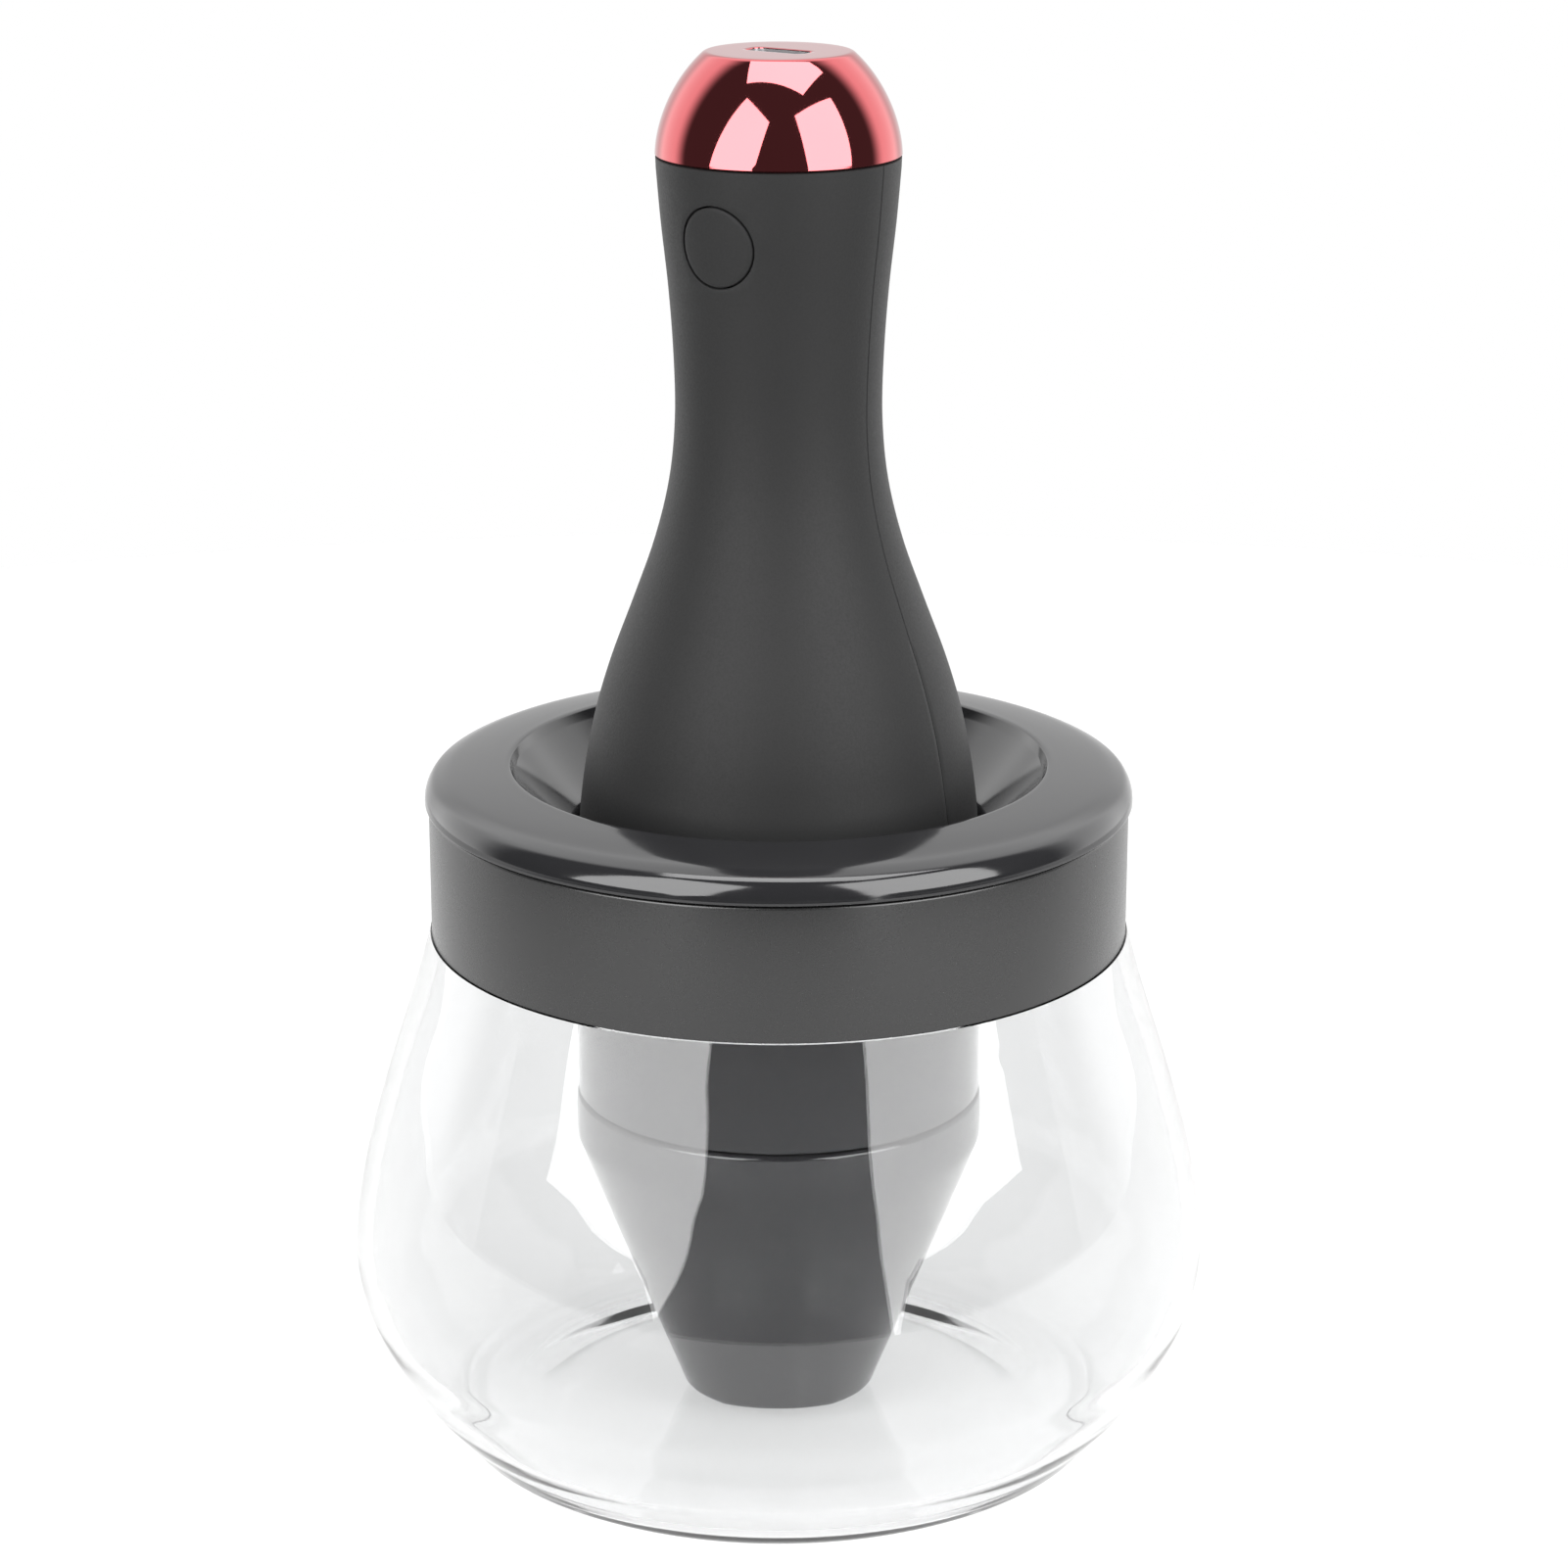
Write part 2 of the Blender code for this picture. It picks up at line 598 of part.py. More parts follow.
def make_battery(body):
    low, high = BATTERY_Z
    shoulder = high - BATTERY_POLE_HEIGHT
    outline = [
        (0, high), (BATTERY_POLE_R, high), (BATTERY_POLE_R, shoulder),
        (BATTERY_R - BATTERY_CREASE, shoulder), (BATTERY_R, shoulder - BATTERY_CREASE),
        (BATTERY_R, low + BATTERY_CREASE), (BATTERY_R - BATTERY_CREASE, low), (0, low),
    ]
    turned("battery_cell", outline, "battery_wrap", body, 24)
    offset = GAP + TAB_SIZE[2] / 2
    for name, z in (("battery_tab_top", high + offset), ("battery_tab_bottom", low - offset)):
        add_mesh(name, box_bm(TAB_SIZE), "nickel", body, (0, 0, z), smooth=False)


def make_chassis(body):
    trough = sleeve(TROUGH_R, TROUGH_BORE_R, *TROUGH_Z)
    chassis = add_mesh("inner_chassis", turned_bm(trough, 10, math.pi, 0.0), "inner_plastic", body)
    shelf_low, shelf_high = SHELF_Z
    posts = on_circle(2, POST_DISTANCE, math.pi / 2)
    spine_centre = (0, SPINE_BACK_Y - SPINE_SIZE[1] / 2, SPINE_BOTTOM_Z + SPINE_SIZE[2] / 2)
    board_boss = blind_boss(BOSS_R, BOARD_FRONT_Y + BOARD_THICKNESS + GAP, SPINE_BACK_Y - 0.4)
    post = blind_boss(POST_R, PLATE_Z[1] + GAP, shelf_high - ROOT)
    join(
        chassis,
        helper(turned_bm(rod(SHELF_R, shelf_low, shelf_high), CUP_SEGMENTS)),
        helper(box_bm(SPINE_SIZE, spine_centre)),
        *[helper(facing_y(turned_bm(board_boss, TINY_SEGMENTS)), (x, 0, z)) for x, z in BOARD_SCREWS],
        *[helper(turned_bm(post, TINY_SEGMENTS), location=(x, y, 0)) for x, y in posts],
    )
    for x in (-TERMINAL_X, TERMINAL_X):
        cut(chassis, hole_z(LEAD_HOLE_R, shelf_low - PAST, shelf_high + PAST, x, LEAD_HOLE_Y))
    for i, (x, y) in enumerate(posts, 1):
        head_z = PLATE_Z[0] - GAP - SCREW_HEAD_HEIGHT
        make_screw(f"chassis_screw_{i}", CHASSIS_SCREW_LENGTH, body, (x, y, head_z))


def make_screw(name, length, body, location):
    """A pan-head screw that points up from its head, placed by the underside of its head."""
    outline = [
        (0, SCREW_HEAD_HEIGHT + length),
        (SCREW_R, SCREW_HEAD_HEIGHT + length),
        (SCREW_R, SCREW_HEAD_HEIGHT),
        (SCREW_HEAD_R, SCREW_HEAD_HEIGHT),
        (SCREW_HEAD_R - 0.2, 0.3),
        (SCREW_HEAD_R - 0.6, 0),
        (0, 0),
    ]
    return turned(name, outline, "steel", body, SCREW_SEGMENTS, location)


def motor_section(radius, flat):
    """A round motor case with two flats, as an outline of (x, y)."""
    half = math.asin(flat / radius)
    return arc_points(radius, -half, half, 8) + arc_points(radius, math.pi - half, math.pi + half, 8)


def make_motor(body):
    low, high = MOTOR_Z
    section = motor_section(MOTOR_R, MOTOR_FLAT)
    hollow = motor_section(MOTOR_R - MOTOR_WALL, MOTOR_FLAT - MOTOR_WALL)
    can = add_mesh("motor_can", prism_bm(section, low, high), "steel", body)
    join(can, helper(turned_bm(rod(MOTOR_BOSS_R, MOTOR_BOSS_Z, low + ROOT), SMALL_SEGMENTS)))
    cut(
        can,
        helper(prism_bm(hollow, low + MOTOR_WALL, high + PAST)),
        hole_z(SHAFT_HOLE_R, MOTOR_BOSS_Z - PAST, low + 2 * PAST),
        *[hole_z(SCREW_HOLE_R, low - PAST, low + 2 * PAST, x) for x in (-MOTOR_SCREW_X, MOTOR_SCREW_X)],
    )
    end_cap = add_mesh("motor_end_cap", prism_bm(section, *END_CAP_Z), "inner_plastic", body)
    for x in (-TERMINAL_X, TERMINAL_X):
        join(end_cap, helper(box_bm(TERMINAL_SIZE), location=(x, TERMINAL_Y, END_CAP_Z[1] + 0.3)))
    cut(end_cap, hole_z(SHAFT_HOLE_R, END_CAP_Z[0] - PAST, END_CAP_Z[1] + PAST))
    for name, middle in (("magnet_left", math.pi), ("magnet_right", 0.0)):
        start, end = middle - MAGNET_HALF_ANGLE, middle + MAGNET_HALF_ANGLE
        arc = arc_points(MAGNET_R[1], start, end, 8) + arc_points(MAGNET_R[0], end, start, 8)
        add_mesh(name, prism_bm(arc, *MAGNET_Z), "ferrite", body)
    for i, x in enumerate((-MOTOR_SCREW_X, MOTOR_SCREW_X), 1):
        head_z = PLATE_Z[0] - GAP - SCREW_HEAD_HEIGHT
        make_screw(f"motor_screw_{i}", MOTOR_SCREW_LENGTH, body, (x, 0, head_z))


def make_motor_plate(body):
    low, high = PLATE_Z
    disc = sleeve(PLATE_R, PLATE_HOLE_R, low, high)
    plate = turned("motor_plate", disc, "inner_plastic", body, CUP_SEGMENTS)
    cover_screws = on_circle(COVER_SCREWS, COVER_SCREW_DISTANCE, 0.0)
    posts = on_circle(2, POST_DISTANCE, math.pi / 2)
    join(plate, *[hole_z(POST_R, PLATE_BOSS_Z, low + ROOT, x, y) for x, y in cover_screws])
    through = [(-MOTOR_SCREW_X, 0), (MOTOR_SCREW_X, 0), *posts]
    cut(
        plate,
        *[hole_z(SCREW_HOLE_R, low - PAST, high + PAST, x, y) for x, y in through],
        *[hole_z(SCREW_HOLE_R, PLATE_BOSS_Z - PAST, high - 0.4, x, y) for x, y in cover_screws],
    )


def make_base_cover(body):
    low, high = COVER_Z
    outline = [
        (BASE_SPIGOT_R, high),
        (BASE_SPIGOT_R, low + COVER_EDGE),
        (BASE_SPIGOT_R - COVER_EDGE, low),
        (COVER_BOSS_R + 1.2, low),
        (COVER_BOSS_R, low - 1),
        (COVER_BOSS_R, COVER_BOSS_Z),
        (SEAL_R + GAP, COVER_BOSS_Z),
        (SEAL_R + GAP, SEAL_Z[1] + GAP),
        (BUSH_R + GAP, SEAL_Z[1] + GAP),
        (BUSH_R + GAP, high),
    ]
    cover = turned("base_cover", outline, "gloss_black", body, CUP_SEGMENTS)
    spots = on_circle(COVER_SCREWS, COVER_SCREW_DISTANCE, 0.0)
    recess_z = low + SCREW_RECESS_DEPTH
    recessed_hole = [
        (0, high + PAST), (SCREW_HOLE_R, high + PAST), (SCREW_HOLE_R, recess_z),
        (SCREW_RECESS_R, recess_z), (SCREW_RECESS_R, low - PAST), (0, low - PAST),
    ]
    cut(cover, *[helper(turned_bm(recessed_hole, SCREW_SEGMENTS), location=(x, y, 0)) for x, y in spots])
    for i, (x, y) in enumerate(spots, 1):
        make_screw(f"cover_screw_{i}", COVER_SCREW_LENGTH, body, (x, y, low))
    turned("spindle_bush", sleeve(BUSH_R, BUSH_BORE_R, *BUSH_Z), "brass", body, 24)
    turned("spindle_seal", sleeve(SEAL_R, SEAL_BORE_R, *SEAL_Z), "silicone", body, 24)


def make_rotor(body):
    turned("motor_shaft", rod(SHAFT_R, *SHAFT_Z), "steel", body, 16)
    pole_pitch = FULL_TURN / ARMATURE_POLES
    section = []
    for pole in range(ARMATURE_POLES):
        middle = pole * pole_pitch
        section += arc_points(ARMATURE_R, middle - POLE_HALF_ANGLE, middle + POLE_HALF_ANGLE, 6)
        valley = middle + pole_pitch / 2
        section.append((ARMATURE_VALLEY_R * math.cos(valley), ARMATURE_VALLEY_R * math.sin(valley)))
    core = add_mesh("armature_core", prism_bm(section, *ARMATURE_Z), "copper", body)
    cut(core, hole_z(SHAFT_HOLE_R, ARMATURE_Z[0] - PAST, ARMATURE_Z[1] + PAST))
    turned("commutator", sleeve(COMMUTATOR_R, SHAFT_HOLE_R, *COMMUTATOR_Z), "copper", body)
    low, high = COUPLING_Z
    coupling = [
        (COUPLING_R, high), (COUPLING_R, low), (SPINDLE_BORE_R, low), (SPINDLE_BORE_R, COUPLING_STEP_Z),
        (SHAFT_HOLE_R, COUPLING_STEP_Z), (SHAFT_HOLE_R, high),
    ]
    turned("shaft_coupling", coupling, "brass", body, 24)
    turned("spindle_shaft", rod(SPINDLE_R, *SPINDLE_Z), "steel", body)
    make_spindle_head(body)
    make_collar(body)


def make_spindle_head(body):
    low, high = HEAD_Z
    outline = [
        (0, SPINDLE_Z[0] - GAP),
        (SPINDLE_BORE_R, SPINDLE_Z[0] - GAP),
        (SPINDLE_BORE_R, high),
        (HEAD_FLANGE_R - 0.4, high),
        (HEAD_FLANGE_R, high - 0.5),
        (HEAD_FLANGE_R, high - HEAD_FLANGE_HEIGHT),
        (HEAD_R + 0.2, high - HEAD_FLANGE_HEIGHT - 0.6),
        (HEAD_R, low + 0.8),
        (HEAD_R - 1, low),
        (0, low),
    ]
    turned("spindle_head", outline[::-1], "inner_plastic", body, 24)


def make_collar(body):
    low, high = COLLAR_Z
    floor = HEAD_Z[0] - GAP
    outline = [
        (COLLAR_R - 0.3, high),
        (COLLAR_R, high - COLLAR_BAND_HEIGHT),
        (COLLAR_MOUTH_R + 1, low + COLLAR_NECK_HEIGHT),
        (COLLAR_MOUTH_R, low),
        (COLLAR_BORE_R, low),
        (COLLAR_BORE_R, floor),
        (COLLAR_SOCKET_R, floor),
        (COLLAR_SOCKET_R, high),
    ]
    turned("brush_collar", outline, "soft_rubber", body, 24)


def smooth_route(points, steps):
    """A Catmull-Rom curve through the points."""
    ends = [points[0], *points, points[-1]]
    route = []
    for a, b, c, d in zip(ends, ends[1:], ends[2:], ends[3:]):
        a, b, c, d = Vector(a), Vector(b), Vector(c), Vector(d)
        square, cube = 2 * a - 5 * b + 4 * c - d, 3 * b - a - 3 * c + d
        for i in range(steps):
            t = i / steps
            route.append((2 * b + (c - a) * t + square * t ** 2 + cube * t ** 3) / 2)
    return [*route, Vector(points[-1])]


def make_lead(name, points, finish, body):
    curve = bpy.data.curves.new(name, "CURVE")
    curve.dimensions = "3D"
    spline = curve.splines.new("POLY")
    route = smooth_route(points, 3)
    spline.points.add(len(route) - 1)
    for point, place in zip(spline.points, route):
        point.co = (*(place * MM), 1)
    curve.bevel_depth = LEAD_R * MM
    curve.bevel_resolution = LEAD_SIDES_RESOLUTION
    curve.use_fill_caps = True
    curve.materials.append(finish_of(finish))
    obj = bpy.data.objects.new(name, curve)
    bpy.context.scene.collection.objects.link(obj)
    obj.parent = body


def make_leads(body):
    """Four leads, soldered to a row of pads at the foot of the board."""
    board_y = BOARD_FRONT_Y - GAP
    pad_z = BOARD_Z[0] + PAD_HEIGHT
    top_tab_z = BATTERY_Z[1] + 2 * GAP + TAB_SIZE[2]
    tab_z = BATTERY_Z[0] - GAP
    make_lead("battery_lead_red", [
        (0, -4.5, top_tab_z + LEAD_R), (0.6, -4.2, top_tab_z + 1.6), (1.4, -2.0, pad_z),
        (1.5, board_y, pad_z),
    ], "red_lead", body)
    make_lead("battery_lead_black", [
        (-0.5, -7.0, tab_z), (-3.2, -8.4, tab_z + 1), (-6.2, -7.4, tab_z + 8), (-6.6, -6.8, 120),
        (-6.5, -6.6, 146), (-6.2, -3, pad_z - 0.4), (-6, board_y, pad_z),
    ], "black_lead", body)
    for name, side, finish in (("motor_lead_red", 1, "red_lead"), ("motor_lead_black", -1, "black_lead")):
        x = side * TERMINAL_X
        pad_x = 5.2 if side > 0 else -2.8
        make_lead(name, [
            (x, TERMINAL_Y - 0.8 - LEAD_R, END_CAP_Z[1] + 0.9), (x, -7.6, END_CAP_Z[1] + 1.6),
            (x, LEAD_HOLE_Y, SHELF_Z[0] + 1.2), (x * 0.9, LEAD_HOLE_Y + 0.2, 104), (side * 3.0, -9.1, 122),
            (side * 2.8, -8.9, 146), (pad_x, -4.2, pad_z - 0.6), (pad_x, board_y, pad_z),
        ], finish, body)


def main():
    clear_scene()
    bowl = body_empty("bowl_body")
    ring = body_empty("ring_body", bowl)
    handle = body_empty("handle_body", ring)
    button = body_empty("button_body", handle, (0, 0, BUTTON_Z))
    plunger = body_empty("plunger_body", handle, (0, 0, BUTTON_Z))
    rotor = body_empty("rotor_body", handle)
    make_bowl(bowl)
    make_splash_ring(ring)
    make_rest_cup(ring)
    make_shells(handle)
    make_top_cap(handle)
    make_button(button)
    make_switch(handle, plunger)
    make_board(handle)
    make_battery(handle)
    make_chassis(handle)
    make_motor(handle)
    make_motor_plate(handle)
    make_base_cover(handle)
    make_rotor(rotor)
    make_leads(handle)


main()
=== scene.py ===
"""Looks of an electric make-up brush cleaner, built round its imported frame.

A clear pot-bellied bowl carries a glossy black splash ring with a rest cup under it, and a soft-touch
battery handle with a red mirror cap stands in the ring. Sizes are in millimetres on the object's own
axis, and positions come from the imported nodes. Meshes are lofted from loops of points round that axis.
"""

from __future__ import annotations

import logging
import math
from dataclasses import dataclass
from enum import Enum

import bmesh
import bpy
from mathutils import Matrix, Vector


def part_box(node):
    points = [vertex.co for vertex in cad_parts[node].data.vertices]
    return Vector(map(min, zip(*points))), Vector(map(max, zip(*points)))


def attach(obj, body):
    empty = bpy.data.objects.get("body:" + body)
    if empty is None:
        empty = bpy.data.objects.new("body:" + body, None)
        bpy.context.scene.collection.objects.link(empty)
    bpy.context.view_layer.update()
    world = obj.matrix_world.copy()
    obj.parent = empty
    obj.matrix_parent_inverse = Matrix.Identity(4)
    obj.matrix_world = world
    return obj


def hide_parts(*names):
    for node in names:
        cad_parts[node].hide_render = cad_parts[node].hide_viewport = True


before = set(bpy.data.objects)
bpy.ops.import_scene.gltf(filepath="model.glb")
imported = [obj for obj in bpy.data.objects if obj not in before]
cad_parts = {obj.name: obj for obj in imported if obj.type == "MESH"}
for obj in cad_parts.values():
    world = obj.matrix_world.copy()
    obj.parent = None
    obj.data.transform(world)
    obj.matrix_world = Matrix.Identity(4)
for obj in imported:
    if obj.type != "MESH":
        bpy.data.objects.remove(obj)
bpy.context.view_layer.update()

MM = 0.001
FULL_TURN = 2 * math.pi
SMOOTH_ANGLE = math.radians(32)
CORNER_STEPS = 12
NOISE_LOW, NOISE_HIGH = 0.3, 0.7
BUMP_STRENGTH = 0.5
BRUSHED_STRETCH = 0.06
log = logging.getLogger("brush_cleaner")

Point = tuple[float, float]
Loop = list[Vector]


class Body(Enum):
    """The frame's bodies that carry a new mesh."""

    BOWL = "bowl"
    RING = "ring"
    HANDLE = "handle"
    BUTTON = "button"
    ROTOR = "rotor"


class Grain(Enum):
    """How the fine surface of a finish is broken up."""

    MOULDED = "moulded"
    BRUSHED = "brushed"


class Cloud(Enum):
    """The broad noises of a finish, as features per metre and octaves of finer noise."""

    COLOUR = (45.0, 3.0)
    HANDLING = (120.0, 6.0)


# ---------------------------------------------------------------- finishes


@dataclass(frozen=True)
class Finish:
    """A moulded, painted or metal surface, made of nodes.

    A broad noise varies its colour, a cloudy one places dull patches where hands have been, and a
    fine one gives the grain in its gloss and its bump. The slot names the finish; record_slot names
    another slot for it, and is not used.
    """

    slot: str
    colour: tuple[float, float, float]
    roughness: float = 0.4
    metallic: float = 0.0
    grain: Grain = Grain.MOULDED
    colour_swing: float = 0.12
    roughness_swing: float = 0.08
    smudge: float = 0.015
    grain_scale: float = 1800.0
    grain_detail: float = 2.0
    grain_depth: float = 0.02
    coat: float = 0.0
    coat_roughness: float = 0.05
    sheen: float = 0.0
    specular: float = 0.5
    record_slot: str = ""

    def shade(self, factor: float) -> tuple[float, float, float, float]:
        """The colour made lighter or darker by a factor."""
        return (*(min(channel * factor, 1.0) for channel in self.colour), 1.0)

    def build(self) -> bpy.types.Material:
        """Makes the material, or finds it if it has been made.

        Returns:
            The node material that carries this finish.
        """
        if self.slot in bpy.data.materials and bpy.data.materials[self.slot].get("dressed"):
            return bpy.data.materials[self.slot]
        material = bpy.data.materials.new(self.slot)
        material["dressed"] = True
        material.use_nodes = True
        tree = material.node_tree
        shader = tree.nodes["Principled BSDF"]
        shader.inputs["Metallic"].default_value = self.metallic
        shader.inputs["Coat Weight"].default_value = self.coat
        shader.inputs["Coat Roughness"].default_value = self.coat_roughness
        shader.inputs["Sheen Weight"].default_value = self.sheen
        shader.inputs["Specular IOR Level"].default_value = self.specular
        place = tree.nodes.new("ShaderNodeTexCoord").outputs["Object"]
        broad = self.noise(tree, place, *Cloud.COLOUR.value)
        fine = self.noise(tree, self.stretched(tree, place), self.grain_scale, self.grain_detail)
        spread = self.colour_swing
        self.ramp(tree, broad, self.shade(1 - spread), self.shade(1 + spread), shader.inputs["Base Color"])
        cloudy = self.noise(tree, place, *Cloud.HANDLING.value)
        self.handle_marks(tree, fine, cloudy, shader.inputs["Roughness"])
        bump = tree.nodes.new("ShaderNodeBump")
        bump.inputs["Strength"].default_value = BUMP_STRENGTH
        bump.inputs["Distance"].default_value = self.grain_depth * MM
        tree.links.new(fine, bump.inputs["Height"])
        tree.links.new(bump.outputs["Normal"], shader.inputs["Normal"])
        return material

    def handle_marks(
        self,
        tree: bpy.types.NodeTree,
        fine: bpy.types.NodeSocket,
        cloudy: bpy.types.NodeSocket,
        target: bpy.types.NodeSocket,
    ) -> None:
        """Makes the gloss uneven: finely with the grain, and in soft patches where hands have been.

        Args:
            tree: The material's nodes.
            fine: The grain's noise.
            cloudy: The noise that places the patches.
            target: The roughness input.
        """
        base, patches = (tree.nodes.new("ShaderNodeMapRange") for _ in range(2))
        low = max(self.roughness - self.roughness_swing, 0.0)
        spans = ((base, fine, low, self.roughness + self.roughness_swing), (patches, cloudy, 0.0, self.smudge))
        for node, value, start, end in spans:
            node.inputs["From Min"].default_value = NOISE_LOW
            node.inputs["From Max"].default_value = NOISE_HIGH
            node.inputs["To Min"].default_value = start
            node.inputs["To Max"].default_value = end
            tree.links.new(value, node.inputs["Value"])
        total = tree.nodes.new("ShaderNodeMath")
        total.operation = "ADD"
        tree.links.new(base.outputs["Result"], total.inputs[0])
        tree.links.new(patches.outputs["Result"], total.inputs[1])
        tree.links.new(total.outputs["Value"], target)

    def stretched(self, tree: bpy.types.NodeTree, place: bpy.types.NodeSocket) -> bpy.types.NodeSocket:
        """Object coordinates, drawn out along the height where the grain is brushed.

        Args:
            tree: The material's nodes.
            place: The object coordinates.

        Returns:
            The coordinates that the fine noise reads.
        """
        if self.grain is not Grain.BRUSHED:
            return place
        mapping = tree.nodes.new("ShaderNodeMapping")
        mapping.inputs["Scale"].default_value = (1.0, 1.0, BRUSHED_STRETCH)
        tree.links.new(place, mapping.inputs["Vector"])
        return mapping.outputs["Vector"]

    @staticmethod
    def noise(
        tree: bpy.types.NodeTree, place: bpy.types.NodeSocket, scale: float, detail: float
    ) -> bpy.types.NodeSocket:
        """Adds a noise texture.

        Args:
            tree: The material's nodes.
            place: The coordinates that it reads.
            scale: Features per metre.
            detail: Octaves of finer noise.

        Returns:
            The noise's value.
        """
        node = tree.nodes.new("ShaderNodeTexNoise")
        node.inputs["Scale"].default_value = scale
        node.inputs["Detail"].default_value = detail
        tree.links.new(place, node.inputs["Vector"])
        return node.outputs["Fac"]

    @staticmethod
    def ramp(
        tree: bpy.types.NodeTree,
        value: bpy.types.NodeSocket,
        low: tuple[float, float, float, float],
        high: tuple[float, float, float, float],
        target: bpy.types.NodeSocket,
    ) -> None:
        """Drives a colour between two ends.

        Args:
            tree: The material's nodes.
            value: What drives it.
            low: The colour at the low end.
            high: The colour at the high end.
            target: The colour input.
        """
        node = tree.nodes.new("ShaderNodeValToRGB")
        node.color_ramp.elements[0].position = NOISE_LOW
        node.color_ramp.elements[0].color = low
        node.color_ramp.elements[1].position = NOISE_HIGH
        node.color_ramp.elements[1].color = high
        tree.links.new(value, node.inputs["Fac"])
        tree.links.new(node.outputs["Color"], target)


@dataclass(frozen=True)
class ClearGlass(Finish):
    """Polished clear glass, with the faint ripple that moulding leaves.

    The mirror is how much of the head-on reflection it keeps.
    """

    ior: float = 1.47
    mirror: float = 0.85

    def build(self) -> bpy.types.Material:
        """Makes the glass material.

        Returns:
            The node material.
        """
        material = super().build()
        shader = material.node_tree.nodes["Principled BSDF"]
        shader.inputs["Transmission Weight"].default_value = 1.0
        shader.inputs["IOR"].default_value = self.ior
        shader.inputs["Specular Tint"].default_value = (self.mirror, self.mirror, self.mirror, 1.0)
        return material


FINISHES: dict[str, Finish] = {
    finish.slot: finish
    for finish in (
        ClearGlass("clear_glass", (0.868, 0.872, 0.874), 0.003, colour_swing=0.006, roughness_swing=0.003,
                   smudge=0.003, grain_scale=45.0, grain_depth=0.03),
        Finish("gloss_black", (0.011, 0.011, 0.012), 0.1, colour_swing=0.1, roughness_swing=0.02,
               grain_scale=220.0, grain_depth=0.0008, specular=0.58),
        Finish("cup_black", (0.011, 0.011, 0.012), 0.07, colour_swing=0.1, roughness_swing=0.02,
               grain_scale=220.0, grain_depth=0.0008, specular=0.8, record_slot="gloss_black"),
        Finish("satin_black", (0.0075, 0.0075, 0.0077), 0.27, colour_swing=0.05, roughness_swing=0.01,
               grain_scale=1500.0, grain_depth=0.0004, specular=0.7),
        Finish("soft_grey", (0.0088, 0.0088, 0.009), 0.6, colour_swing=0.05, roughness_swing=0.05,
               grain_scale=3200.0, grain_depth=0.02, sheen=0.025, specular=0.28),
        Finish("red_mirror", (0.42, 0.092, 0.1), 0.03, metallic=1.0, colour_swing=0.03,
               roughness_swing=0.01, smudge=0.012, grain_scale=260.0, grain_depth=0.0001),
        Finish("silicone", (0.72, 0.72, 0.71), 0.5, colour_swing=0.04, specular=0.4),
        Finish("soft_rubber", (0.022, 0.022, 0.023), 0.7, grain_scale=2400.0, grain_depth=0.03),
        Finish("inner_plastic", (0.62, 0.62, 0.6), 0.45, colour_swing=0.04),
        Finish("board_green", (0.02, 0.12, 0.045), 0.32, colour_swing=0.2, coat=0.4),
        Finish("battery_wrap", (0.02, 0.09, 0.28), 0.3, colour_swing=0.08, grain_scale=700.0),
        Finish("steel", (0.6, 0.6, 0.61), 0.3, metallic=1.0, grain=Grain.BRUSHED, colour_swing=0.06),
        # Painted shade: the steel darkened for the charging socket, which sits down in the cap's slot.
        Finish("steel_painted_shade", (0.17, 0.17, 0.175), 0.5, metallic=1.0, colour_swing=0.06,
               record_slot="steel"),
        Finish("nickel", (0.68, 0.66, 0.61), 0.26, metallic=1.0, grain=Grain.BRUSHED),
        Finish("brass", (0.72, 0.52, 0.22), 0.28, metallic=1.0, grain=Grain.BRUSHED),
        Finish("copper", (0.72, 0.34, 0.19), 0.32, metallic=1.0, grain=Grain.BRUSHED),
        Finish("ferrite", (0.06, 0.056, 0.056), 0.6, grain_depth=0.04),
        Finish("red_lead", (0.5, 0.02, 0.02), 0.4),
        Finish("black_lead", (0.015, 0.015, 0.015), 0.4),
    )
}

CAD_SLOTS: dict[str, tuple[str, ...]] = {
    "board_green": ("main_board",),
    "battery_wrap": ("battery_cell",),
    "inner_plastic": ("inner_chassis", "motor_plate", "motor_end_cap", "switch_plunger"),
    "soft_rubber": ("switch_body",),
    "nickel": ("battery_tab_top", "battery_tab_bottom"),
    "steel": (
        "motor_can", "motor_shaft", "spindle_shaft", "board_screw_1", "board_screw_2", "chassis_screw_1",
        "chassis_screw_2", "motor_screw_1", "motor_screw_2",
    ),
    "brass": ("spindle_bush", "shaft_coupling"),
    "copper": ("armature_core", "commutator"),
    "ferrite": ("magnet_left", "magnet_right"),
    "red_lead": ("battery_lead_red", "motor_lead_red"),
    "black_lead": ("battery_lead_black", "motor_lead_black"),
}


# ---------------------------------------------------------------- outlines and lofts


@dataclass(frozen=True)
class NodeBox:
    """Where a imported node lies, in millimetres."""

    low: Vector
    high: Vector

    @classmethod
    def of(cls, node: str) -> NodeBox:
        """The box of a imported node."""
        low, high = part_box(node)
        return cls(low / MM, high / MM)

    @property
    def radius(self) -> float:
        """Half the width, for a node that is round about the object's axis."""
        return self.high.x

    @property
    def top(self) -> float:
        """The height of the node's top."""
        return self.high.z

    @property
    def bottom(self) -> float:
        """The height of the node's underside."""
        return self.low.z


